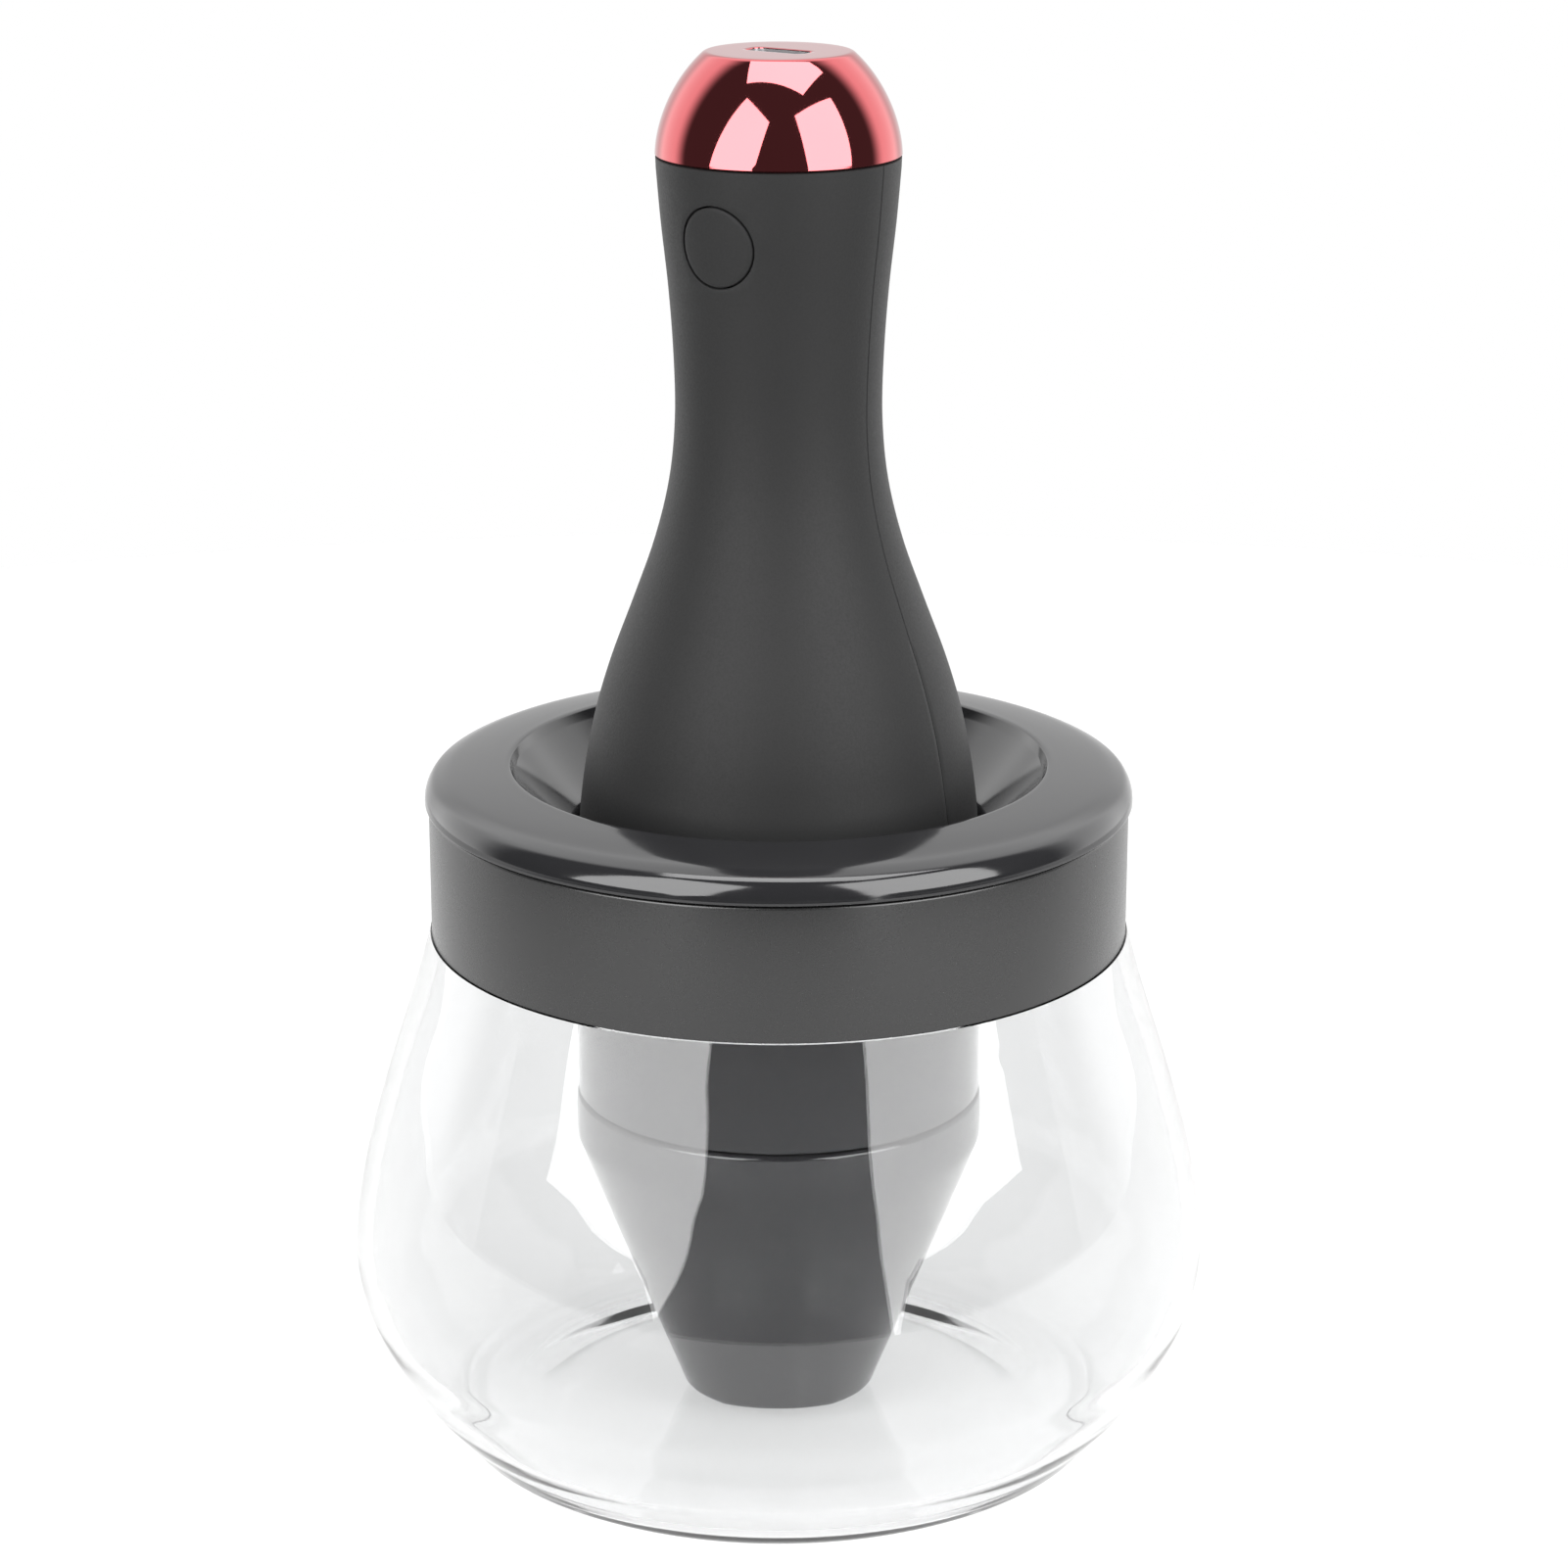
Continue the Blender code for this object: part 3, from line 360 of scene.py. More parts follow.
def flowing(points: list[Point], steps: int = 8) -> list[Point]:
    """A smooth curve through points of (radius, height).

    Args:
        points: The points that it passes through.
        steps: Stations between two points.

    Returns:
        The curve's stations, with both ends.
    """
    ends = [
        Vector(points[0]) * 2 - Vector(points[1]),
        *(Vector(point) for point in points),
        Vector(points[-1]) * 2 - Vector(points[-2]),
    ]
    curve: list[Point] = []
    for before, start, end, after in zip(ends, ends[1:], ends[2:], ends[3:]):
        length = (end - start).length
        pull_in = ((end - before) / ((end - start).length + (start - before).length)) * length
        pull_out = ((after - start) / ((after - end).length + (end - start).length)) * length
        for i in range(steps):
            t = i / steps
            place = (
                start * (2 * t**3 - 3 * t**2 + 1)
                + pull_in * (t**3 - 2 * t**2 + t)
                + end * (3 * t**2 - 2 * t**3)
                + pull_out * (t**3 - t**2)
            )
            curve.append((place.x, place.y))
    curve.append(points[-1])
    return curve


def rounded(corners: list[tuple[float, ...]], steps: int = 4) -> list[Point]:
    """An outline whose corners are rounded where they name a radius.

    Args:
        corners: (radius, height) or (radius, height, rounding) in order.
        steps: Stations along each rounding.

    Returns:
        The outline's stations.
    """
    outline: list[Point] = []
    for i, corner in enumerate(corners):
        here = Vector(corner[:2])
        if len(corner) < 3 or i in (0, len(corners) - 1):
            outline.append((here.x, here.y))
            continue
        back = Vector(corners[i - 1][:2]) - here
        ahead = Vector(corners[i + 1][:2]) - here
        reach = min(corner[2], back.length * 0.45, ahead.length * 0.45)
        start, end = here + back.normalized() * reach, here + ahead.normalized() * reach
        for k in range(steps + 1):
            t = k / steps
            place = start * (1 - t) ** 2 + here * 2 * t * (1 - t) + end * t**2
            outline.append((place.x, place.y))
    return outline


def beside(outline: list[Point], distance: float) -> list[Point]:
    """The outline moved sideways by a wall's thickness, to its left as it runs.

    Args:
        outline: The stations of (radius, height).
        distance: How far they move.

    Returns:
        The moved stations.
    """
    moved = []
    for i, (radius, height) in enumerate(outline):
        before = Vector(outline[max(i - 1, 0)])
        after = Vector(outline[min(i + 1, len(outline) - 1)])
        along = (after - before).normalized()
        moved.append((radius - along.y * distance, height + along.x * distance))
    return moved


def circle(radius: float, height: float, count: int) -> Loop:
    """A loop of points round the axis."""
    step = FULL_TURN / count
    return [Vector((radius * math.cos(i * step), radius * math.sin(i * step), height)) for i in range(count)]


def stadium(half_x: float, half_y: float, corner: float, height: float, count: int) -> Loop:
    """An oblong loop with round corners, with its points evenly spaced.

    Args:
        half_x: Half its width.
        half_y: Half its depth.
        corner: The corners' radius.
        height: The loop's height.
        count: Points in the loop.

    Returns:
        The loop, from the middle of its right side.
    """
    corner = min(corner, half_x, half_y)
    path = [Vector((half_x, 0.0))]
    for quarter in range(4):
        side_x, side_y = ((1, 1), (-1, 1), (-1, -1), (1, -1))[quarter]
        middle = Vector((side_x * (half_x - corner), side_y * (half_y - corner)))
        for k in range(CORNER_STEPS + 1):
            angle = (quarter + k / CORNER_STEPS) * math.pi / 2
            path.append(middle + Vector((math.cos(angle), math.sin(angle))) * corner)
    path.append(path[0].copy())
    lengths = [(end - start).length for start, end in zip(path, path[1:])]
    pitch = sum(lengths) / count
    loop: Loop = []
    walked = 0.0
    for start, end, length in zip(path, path[1:], lengths):
        while len(loop) < count and len(loop) * pitch <= walked + length:
            place = start.lerp(end, (len(loop) * pitch - walked) / length if length else 0.0)
            loop.append(Vector((place.x, place.y, height)))
        walked += length
    return loop


@dataclass
class Loft:
    """A skin drawn over loops of the same number of points.

    A closed loft joins its last loop to its first. An open one ends in a cap of one point at each end.
    """

    count: int
    closed: bool = True

    def __post_init__(self) -> None:
        """Starts with no loops."""
        self.loops: list[Loop] = []

    def turn(self, outline: list[Point]) -> Loft:
        """Adds a circle for each station of an outline, and returns the loft."""
        self.loops += [circle(radius, height, self.count) for radius, height in outline]
        return self

    def add(self, loop: Loop) -> Loft:
        """Adds one loop, and returns the loft."""
        self.loops.append(loop)
        return self

    def mesh(self) -> bmesh.types.BMesh:
        """Skins the loops.

        Returns:
            The body, in millimetres.
        """
        bm = bmesh.new()
        rows = [[bm.verts.new(point) for point in loop] for loop in self.loops]
        pairs = list(zip(rows, rows[1:]))
        if self.closed:
            pairs.append((rows[-1], rows[0]))
        for low, high in pairs:
            for i in range(self.count):
                j = (i + 1) % self.count
                bm.faces.new((low[i], low[j], high[j], high[i]))
        if not self.closed:
            self.fan(bm, rows[0])
            self.fan(bm, rows[-1])
        return bm

    @staticmethod
    def fan(bm: bmesh.types.BMesh, row: list[bmesh.types.BMVert]) -> None:
        """Closes a loop with triangles to its middle.

        Args:
            bm: The body.
            row: The loop's points.
        """
        middle = bm.verts.new(sum((vert.co for vert in row), Vector()) / len(row))
        for i, vert in enumerate(row):
            bm.faces.new((vert, row[(i + 1) % len(row)], middle))


def placed(name: str, bm: bmesh.types.BMesh) -> bpy.types.Object:
    """Turns a body into an object of the scene, and frees the body.

    Args:
        name: The object's name.
        bm: The body, in millimetres.

    Returns:
        The object, in metres.
    """
    bmesh.ops.scale(bm, vec=(MM, MM, MM), verts=bm.verts)
    bmesh.ops.recalc_face_normals(bm, faces=bm.faces)
    mesh = bpy.data.meshes.new(name)
    bm.to_mesh(mesh)
    bm.free()
    thing = bpy.data.objects.new(name, mesh)
    bpy.context.scene.collection.objects.link(thing)
    return thing


def finish_piece(name: str, bm: bmesh.types.BMesh, slot: str, body: Body, *nodes: str) -> bpy.types.Object:
    """Turns a body into a named piece, with its finish and its place in the frame.

    Args:
        name: The piece's name.
        bm: The body, in millimetres.
        slot: The finish's slot.
        body: The body that it moves with.
        *nodes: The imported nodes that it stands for.

    Returns:
        The piece.
    """
    piece = placed(name, bm)
    mesh = piece.data
    mesh.shade_smooth()
    mesh.set_sharp_from_angle(angle=SMOOTH_ANGLE)
    mesh.materials.append(FINISHES[slot].build())
    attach(piece, body.value)
    if nodes:
        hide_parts(*nodes)
    log.info("%s: %d faces on %s", name, len(mesh.polygons), body.value)
    return piece


# ---------------------------------------------------------------- sub-assemblies


@dataclass
class Bowl:
    """The clear bowl: a foot ring, a wide belly, and a neck that goes up inside the splash ring."""

    wall: float = 2.2
    floor: float = 3.2
    recess: float = 1.0
    foot_bore: float = 36.0
    foot_edge: float = 41.6
    floor_round: float = 1.6
    hub: float = 2.0
    neck: float = 43.1
    neck_foot: float = 71.1
    segments: int = 192
    side: tuple[Point, ...] = (
        (44.9, 2.0), (47.6, 5.2), (50.8, 9.0), (53.9, 14.0), (56.7, 20.0), (57.7, 27.0), (56.2, 38.0),
        (53.0, 50.0), (49.2, 62.0), (46.6, 71.1),
    )

    def build(self) -> None:
        """Builds the bowl as one wall of glass."""
        rim = NodeBox.of("glass_bowl").top
        foot = rounded([(self.foot_bore, 0.0), (self.foot_edge, 0.0, 2.0), self.side[0]], 8)
        outer = foot[:-1] + flowing(list(self.side))
        inside = beside(flowing(list(self.side)), self.wall)
        inner = [point for point in inside if point[1] > self.floor + self.floor_round]
        bore = self.neck - self.wall
        start = inner[0]
        outline = [
            (self.hub, self.recess),
            *flowing([(self.foot_bore - 10, self.recess), (self.foot_bore - 6, self.recess - 0.15),
                      (self.foot_bore - 2, self.recess - 0.6), (self.foot_bore + 1.4, 0.05)], 6),
            *outer[1:],
            *rounded([(self.side[-1][0], self.neck_foot), (self.neck, self.neck_foot, 1.6),
                      (self.neck, rim, 0.8), (bore, rim, 0.8), (bore, self.neck_foot - 0.5, 0.4),
                      inner[-1]])[1:-1],
            *reversed(inner),
            *rounded([start, (start[0] - 2.2, self.floor, 2.4), (start[0] - 7, self.floor),
                      (self.hub, self.floor)], 8)[1:],
        ]
        glass = Loft(self.segments, closed=False).turn(outline)
        piece = finish_piece("bowl_glass", glass.mesh(), "clear_glass", Body.BOWL, "glass_bowl")
        piece.visible_shadow = False


@dataclass
class SplashRing:
    """The ring over the bowl's neck: a rolled glossy top with its dish and well, a band and a gasket."""

    wall: float = 1.8
    skirt: float = 44.9
    skirt_wall: float = 1.3
    skirt_foot: float = 80.0
    dish_rim: Point = (35.4, 93.1)
    dish_foot: Point = (28.0, 84.9)
    seat: Point = (27.6, 82.7)
    well: float = 27.1
    well_bore: float = 25.4
    seam_air: float = 0.3
    band_wall: float = 1.2
    band_lap: float = 0.33
    gasket_width: float = 2.2
    gasket_segments: int = 128
    segments: int = 192

    def build(self) -> None:
        """Builds the ring's three pieces."""
        self.build_top()
        self.build_band()
        self.build_gasket()

    def build_top(self) -> None:
        """Builds the rolled top, the dish and the well under it."""
        box = NodeBox.of("splash_ring_top")
        seam = NodeBox.of("splash_ring_band").top + self.seam_air
        edge, top, foot = box.radius, box.top, box.bottom
        rolled = flowing([
            (edge, seam + 0.35), (edge - 0.1, seam + 1.15), (edge - 0.45, seam + 2.1), (edge - 1.05, seam + 2.95),
            (edge - 1.95, top - 1.35), (edge - 3.25, top - 0.9), (edge - 5.1, top - 0.58),
            (edge - 7.9, top - 0.26), (self.dish_rim[0] + 0.75, top - 0.03),
        ]) + rounded([
            (self.dish_rim[0] + 0.7, top - 0.03), (self.dish_rim[0] + 0.2, top - 0.06, 0.3),
            (self.dish_rim[0] - 0.3, self.dish_rim[1] - 0.3),
        ], 6)
        seat_r, seat_z = self.seat
        lower = rounded([
            (self.dish_rim[0] - 0.5, self.dish_rim[1] - 0.55), (*self.dish_foot, 1.0),
            (seat_r, self.dish_foot[1] - 0.7, 0.3), (seat_r, seat_z, 0.4), (self.well_bore, seat_z, 0.5),
            (self.well_bore, foot, 0.3), (self.well, foot, 0.3), (self.well, seat_z - 3.2, 1.0),
            (seat_r + self.wall, seat_z - 1, 0.8),
            (self.dish_foot[0] + self.wall, self.dish_foot[1] - 1.3, 0.8),
            (self.dish_rim[0] + self.wall, self.dish_rim[1] - self.wall, 1.0),
            (self.skirt - self.skirt_wall, top - self.wall - 0.4, 1.0),
            (self.skirt - self.skirt_wall, self.skirt_foot, 0.3), (self.skirt, self.skirt_foot, 0.3),
            (self.skirt, seam, 0.2), (edge, seam, 0.3), (edge, seam + 0.35),
        ])[:-1]
        finish_piece("splash_ring_gloss_top", Loft(self.segments).turn(rolled + lower).mesh(), "gloss_black",
                     Body.RING, "splash_ring_top")

    def build_band(self) -> None:
        """Builds the satin band round the bowl's neck."""
        box = NodeBox.of("splash_ring_band")
        bore, foot = box.radius - self.band_wall, box.bottom - self.band_lap
        middle = (box.top + box.bottom) / 2
        outline = rounded([
            (box.radius, middle), (box.radius, box.top, 0.35), (bore, box.top, 0.2), (bore, foot, 0.1),
            (box.radius, foot, 0.12), (box.radius, middle),
        ])[:-1]
        finish_piece("splash_ring_satin_band", Loft(self.segments).turn(outline).mesh(), "satin_black",
                     Body.RING, "splash_ring_band")

    def build_gasket(self) -> None:
        """Builds the silicone gasket, with two sealing ribs under it."""
        box = NodeBox.of("bowl_gasket")
        bore = box.radius - self.gasket_width
        low = box.bottom
        outline = rounded([
            (box.radius, box.top - 1), (box.radius, low + 0.3, 0.3), (box.radius - 0.5, low, 0.3),
            (box.radius - 1.1, low + 0.4, 0.3), (bore + 0.5, low, 0.3), (bore, low + 0.3, 0.3),
            (bore, box.top, 0.3), (box.radius, box.top, 0.3), (box.radius, box.top - 1),
        ])[:-1]
        loft = Loft(self.gasket_segments).turn(outline)
        finish_piece("neck_gasket", loft.mesh(), "silicone", Body.RING, "bowl_gasket")


@dataclass
class RestCup:
    """The glossy cone that closes the well, with the snap bead that holds it."""

    wall: float = 1.7
    spigot: float = 25.1
    spigot_wall: float = 1.4
    bead_low: float = 43.2
    bead_high: float = 46.2
    lip: float = 48.2
    foot: float = 13.6
    hub: float = 1.0
    segments: int = 176

    def build(self) -> None:
        """Builds the cup as one turned wall."""
        box = NodeBox.of("rest_cup")
        bead, low, top = box.radius, box.bottom, box.top
        bore = self.spigot - self.spigot_wall
        outline = rounded([
            (self.hub, low), (self.foot - 2.2, low, 0.0), (self.foot - 0.5, low + 0.7, 1.2),
            (self.foot + 0.25, low + 2.9), (bead - 0.9, self.bead_low - 3.5),
            (bead - 0.1, self.bead_low - 1.4, 0.35), (bead, self.bead_low, 0.4),
            (bead, self.bead_high, 0.3), (bead - 0.15, self.lip - 0.35, 0.3),
            (bead - 0.6, self.lip, 0.2), (self.spigot, self.lip, 0.2),
            (self.spigot, top, 0.3), (bore, top, 0.3), (bore, self.bead_low + 1, 0.8),
            (bead - self.wall, self.bead_low - 1, 0.8),
            (self.foot - self.wall, low + self.wall + 0.9, 0.8),
            (self.foot - self.wall - 0.6, low + self.wall, 0.4), (self.hub, low + self.wall),
        ], 6)
        finish_piece("rest_cup_cone", Loft(self.segments, closed=False).turn(outline).mesh(), "cup_black",
                     Body.RING, "rest_cup")


@dataclass
class Handle:
    """The soft-touch handle: two half shells, the mirror cap, the power button and the charging port."""

    wall: float = 1.9
    parting: float = 0.05
    parting_round: float = 0.08
    parting_turn: float = 0.006
    spigot: float = 13.4
    spigot_bore: float = 12.1
    base_spigot: float = 24.4
    base_bore: float = 22.6
    ledge_bore: float = 20.9
    ledge_top: float = 64.9
    button_radius: float = 5.08
    button_hole: float = 5.3
    button_back: float = -9.3
    button_flange: float = 1.0
    button_stem: float = 1.7
    button_segments: int = 96
    hole_draw: tuple[tuple[float, float, float], ...] = (
        (0.35, 0.0, 0.0), (0.7, 0.0, 0.0), (1.0, 0.18, 0.0), (1.0, 0.05, 0.05), (1.0, 0.0, 0.18),
    )
    window_margin: float = 2.2
    window_front: float = -8.0
    dome_height: float = 16.8
    dome_power: float = 1.76
    dome_steps: int = 56
    slot_half: Point = (4.3, 1.6)
    slot_corner: float = 1.0
    mouth_half: Point = (4.25, 1.55)
    mouth_rise: float = 1.75
    mouth_segments: int = 64
    socket_metal: float = 0.3
    cap_wall: float = 1.4
    cap_top: float = 7.6
    cap_segments: int = 192
    cap_lap: float = 0.15
    half_steps: int = 96
    outline: tuple[Point, ...] = (
        (15.7, 173.9), (15.05, 166.0), (14.1, 157.0), (13.5, 148.0), (13.4, 140.0), (14.2, 132.0),
        (16.15, 124.0), (19.0, 116.0), (22.0, 108.0), (24.1, 101.0), (25.5, 94.0), (26.3, 88.0), (26.6, 83.0),
    )

    def build(self) -> None:
        """Builds the shells, cap, button and port."""
        self.build_shell("handle_shell_front", "handle_front_shell", -1)
        self.build_shell("handle_shell_rear", "handle_rear_shell", 1)
        self.build_button()
        self.build_cap()
        self.build_port()

    def skin(self) -> list[Point]:
        """The outer skin from the cap seam down to the seat, with soft edges.

        Returns:
            The skin's stations of (radius, height).
        """
        curve = flowing(list(self.outline), 6)
        top, foot = self.outline[0], self.outline[-1]
        return [(top[0] - 0.25, top[1]), (top[0] - 0.06, top[1] - 0.06), *curve[1:-1],
                (foot[0], foot[1] + 0.25), (foot[0] - 0.25, foot[1])]

    def skin_radius(self, height: float) -> float:
        """The outer skin's radius at a height.

        Args:
            height: Height above the bowl's foot.

        Returns:
            The radius there.
        """
        curve = flowing(list(self.outline), 6)
        for (upper, top), (lower, bottom) in zip(curve, curve[1:]):
            if bottom <= height <= top:
                share = (height - bottom) / (top - bottom)
                return lower + (upper - lower) * share
        return curve[0][0] if height > curve[0][1] else curve[-1][0]

    def section(self) -> list[Point]:
        """The closed wall: spigot, skin, base spigot, and back up the inside.

        Returns:
            The wall's stations of (radius, height).
        """
        box = NodeBox.of("handle_rear_shell")
        seat = self.outline[-1][1]
        inner = [(radius - self.wall, height) for radius, height in flowing(list(self.outline), 4)]
        return [
            (self.spigot - 0.2, box.top),
            (self.spigot, box.top - 0.2),
            (self.spigot, self.outline[0][1]),
            *self.skin(),
            (self.base_spigot, seat),
            (self.base_spigot, box.bottom + 0.3),
            (self.base_spigot - 0.3, box.bottom),
            (self.ledge_bore, box.bottom),
            (self.ledge_bore, self.ledge_top),
            (self.base_bore, self.ledge_top),
            (self.base_bore, seat + 1.5),
            *reversed(inner[3:-4]),
            (self.spigot_bore, box.top - 6),
            (self.spigot_bore, box.top),
        ]

    def build_shell(self, name: str, node: str, side: int) -> None:
        """Builds a half shell whose edges are softened along the parting line.

        Args:
            name: The piece's name.
            node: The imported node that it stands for.
            side: -1 for the front half, 1 for the rear.
        """
        section = self.section()
        skin_from = section.index(self.skin()[0])
        skin_to = skin_from + len(self.skin())
        start = math.pi if side < 0 else 0.0
        stations = [(0.0, self.parting_round), (self.parting_turn, 0.0)]
        stations += [(math.pi * i / self.half_steps, 0.0) for i in range(1, self.half_steps)]
        stations += [(math.pi - self.parting_turn, 0.0), (math.pi, self.parting_round)]
        bm = bmesh.new()
        rows = []
        for angle, tucked in stations:
            across, deep = math.cos(start + angle), math.sin(start + angle)
            row = []
            for i, (radius, height) in enumerate(section):
                radius -= tucked if skin_from <= i < skin_to else 0.0
                row.append(bm.verts.new((radius * across, radius * deep + side * self.parting, height)))
            rows.append(row)
        for row, following in zip(rows, rows[1:]):
            for i in range(len(section)):
                j = (i + 1) % len(section)
                bm.faces.new((row[i], row[j], following[j], following[i]))
        bm.faces.new(rows[0])
        bm.faces.new(rows[-1])
        if side < 0:
            self.open_button_hole(bm)
        finish_piece(name, bm, "soft_grey", Body.HANDLE, node)

    def open_button_hole(self, bm: bmesh.types.BMesh) -> None:
        """Cuts the button's round hole, with a softened rim, and re-draws the skins round it.

        Args:
            bm: The front shell, in millimetres.
        """
        height = self.button_height()
        reach = self.button_hole + self.window_margin
        window = [
            face for face in bm.faces
            if face.calc_center_median().y < self.window_front
            and all(abs(v.co.x) < reach and abs(v.co.z - height) < reach for v in face.verts)
        ]
        bmesh.ops.delete(bm, geom=window, context="FACES")
        edges = {edge for edge in bm.edges if edge.is_boundary}
        skins = sorted(self.boundary_loops(edges), key=lambda loop: loop[0].co.y)
        rims = []
        for depth, loop in enumerate(skins):
            inset = depth * self.wall
            rims.append(self.draw_in(bm, loop, height, inset))
        outer, inner = rims
        for i, vert in enumerate(outer):
            j = (i + 1) % len(outer)
            nearest = [min(inner, key=lambda v: (v.co.xz - corner.co.xz).length) for corner in (vert, outer[j])]
            corners = list(dict.fromkeys([vert, outer[j], nearest[1], nearest[0]]))
            if len(corners) > 2:
                bm.faces.new(corners)

    @staticmethod
    def boundary_loops(edges: set[bmesh.types.BMEdge]) -> list[list[bmesh.types.BMVert]]:
        """Chains open edges into loops.

        Args:
            edges: The open edges.

        Returns:
            The loops, each as its points in order.
        """
        loops = []
        while edges:
            edge = edges.pop()
            first, vert = edge.verts
            chain = [first]
            while vert is not first:
                chain.append(vert)
                edge = next(e for e in vert.link_edges if e in edges)
                edges.discard(edge)
                vert = edge.other_vert(vert)
            loops.append(chain)
        return loops

    def draw_in(
        self, bm: bmesh.types.BMesh, loop: list[bmesh.types.BMVert], height: float, inset: float
    ) -> list[bmesh.types.BMVert]:
        """Draws a skin in from its open window to the round hole, in the steps of hole_draw.

        Each step gives how far the skin has come in, how much wider than the hole it is, and how
        far it has turned down into it.

        Args:
            bm: The front shell.
            loop: The window's points, in order.
            height: The hole's height.
            inset: How far this skin lies inside the outer one.

        Returns:
            The hole's rim, in order.
        """
        row = loop
        for share, wider, deeper in self.hole_draw:
            ring = []
            for vert in loop:
                angle = math.atan2(vert.co.z - height, vert.co.x)
                rim = self.button_hole + wider
                x = vert.co.x + (rim * math.cos(angle) - vert.co.x) * share
                z = vert.co.z + (height + rim * math.sin(angle) - vert.co.z) * share
                radius = self.skin_radius(z) - inset
                y = -math.sqrt(radius**2 - x**2) - self.parting + (deeper if inset == 0 else -deeper)
                ring.append(bm.verts.new((x, y, z)))
            for i, vert in enumerate(row):
                j = (i + 1) % len(row)
                bm.faces.new((vert, row[j], ring[j], ring[i]))
            row = ring
        return row

    def button_height(self) -> float:
        """The height of the button's middle."""
        box = NodeBox.of("power_button")
        return (box.top + box.bottom) / 2

    def build_button(self) -> None:
        """Builds the button: a face that follows the handle, a flange inside, and its stem."""
        box = NodeBox.of("power_button")
        height = self.button_height()
        flange = box.radius
        back, count, stem = self.button_back, self.button_segments, self.button_stem
        loft = Loft(count, closed=False)
        for share in (0.05, 0.25, 0.5, 0.72, 0.88):
            loft.add(self.face_ring(self.button_radius * share, height, count, 0.0))
        for inset, sunk in ((0.22, 0.0), (0.06, 0.06), (0.0, 0.22)):
            loft.add(self.face_ring(self.button_radius - inset, height, count, sunk))
        front = back - self.button_flange
        for radius, y in ((self.button_radius, front), (flange, front), (flange, back), (stem, back),
                          (stem, box.high.y + 0.2), (stem - 0.2, box.high.y)):
            loft.add([Vector((p.x, y, height + p.y)) for p in circle(radius, 0.0, count)])
        finish_piece("power_button_cap", loft.mesh(), "soft_grey", Body.BUTTON, "power_button")

    def face_ring(self, radius: float, height: float, count: int, sunk: float) -> Loop:
        """A ring of the button's face, lying on the handle's own curve.

        Args:
            radius: The ring's radius about the button's axis.
            height: The height of the button's middle.
            count: Points in the ring.
            sunk: How far it lies under the skin.

        Returns:
            The ring.
        """
        ring = []
        for flat in circle(radius, 0.0, count):
            skin = self.skin_radius(height + flat.y)
            ring.append(Vector((flat.x, -math.sqrt(skin**2 - flat.x**2) + sunk, height + flat.y)))
        return ring

    def build_cap(self) -> None:
        """Builds the mirror cap round the slot in its flat top."""
        box = NodeBox.of("top_cap")
        count, wall = self.cap_segments, self.cap_wall
        seam, top, edge = box.bottom - self.cap_lap, box.top, box.radius
        dome = [(edge, seam + 0.2), *(
            (edge * math.sqrt(1 - (rise / self.dome_height) ** self.dome_power), seam + rise)
            for rise in (0.35 + (top - seam - 1.05) * i / self.dome_steps for i in range(self.dome_steps + 1))
        )]
        brow = rounded([dome[-1], (dome[-1][0] - 0.75, top, 0.9), (self.cap_top, top)], 10)[1:]
        ceiling = top - wall
        loft = Loft(count).turn([(edge - 0.2, seam), *dome, *brow])
        for spread, height in ((2.0, top), (0.6, top), (0.25, top), (0.07, top - 0.07), (0.0, top - 0.25),
                               (0.0, ceiling), (1.6, ceiling)):
            loft.add(self.slot_loop(spread, height, count))
        inner = [(radius, height) for radius, height in reversed(beside(dome, wall)) if height < ceiling - 0.4]
        loft.turn([(inner[0][0] - 1.6, ceiling), *inner[:-1], (edge - wall, seam + 0.2), (edge - wall, seam)])
        finish_piece("mirror_cap", loft.mesh(), "red_mirror", Body.HANDLE, "top_cap")

    def slot_loop(self, spread: float, height: float, count: int) -> Loop:
        """The outline of the charging slot, grown on every side.

        Args:
            spread: How far it is grown.
            height: The loop's height.
            count: Points in the loop.

        Returns:
            The loop.
        """
        half_x, half_y = self.slot_half
        return stadium(half_x + spread, half_y + spread, self.slot_corner + spread, height, count)

    def build_port(self) -> None:
        """Builds the charging socket's folded shell, and the contact tongue inside it."""
        shell = NodeBox.of("usb_socket")
        count, metal = self.mouth_segments, self.socket_metal
        half_x, half_y = shell.high.x, shell.high.y
        mouth_x, mouth_y = self.mouth_half
        rim = shell.top + self.mouth_rise
        stations = (
            (half_x - 0.15, half_y - 0.15, shell.bottom), (half_x, half_y, shell.bottom + 0.2),
            (half_x, half_y, shell.top), (mouth_x - 0.08, mouth_y - 0.05, rim - 0.6),
            (mouth_x, mouth_y, rim - 0.15),
            (mouth_x - 0.04, mouth_y - 0.04, rim), (mouth_x - 0.12, mouth_y - 0.12, rim),
            (mouth_x - 0.2, mouth_y - 0.2, rim - 0.4), (half_x - metal, half_y - metal, shell.top - 0.2),
            (half_x - metal, half_y - metal, shell.bottom + metal),
        )
        loft = Loft(count, closed=False)
        for reach_x, reach_y, height in stations:
            loft.add(stadium(reach_x, reach_y, self.slot_corner, height, count))
        # The socket's shell takes the steel with painted shade, for its place down in the slot.
        finish_piece("charging_socket", loft.mesh(), "steel_painted_shade", Body.HANDLE, "usb_socket")
        tongue = NodeBox.of("usb_tongue")
        loft = Loft(count, closed=False)
        for inset, height in ((0.0, tongue.bottom), (0.0, tongue.top - 0.3), (0.15, tongue.top)):
            loft.add(stadium(tongue.high.x - inset, tongue.high.y - inset, 0.1, height, count))
        finish_piece("charging_tongue", loft.mesh(), "soft_rubber", Body.HANDLE, "usb_tongue")


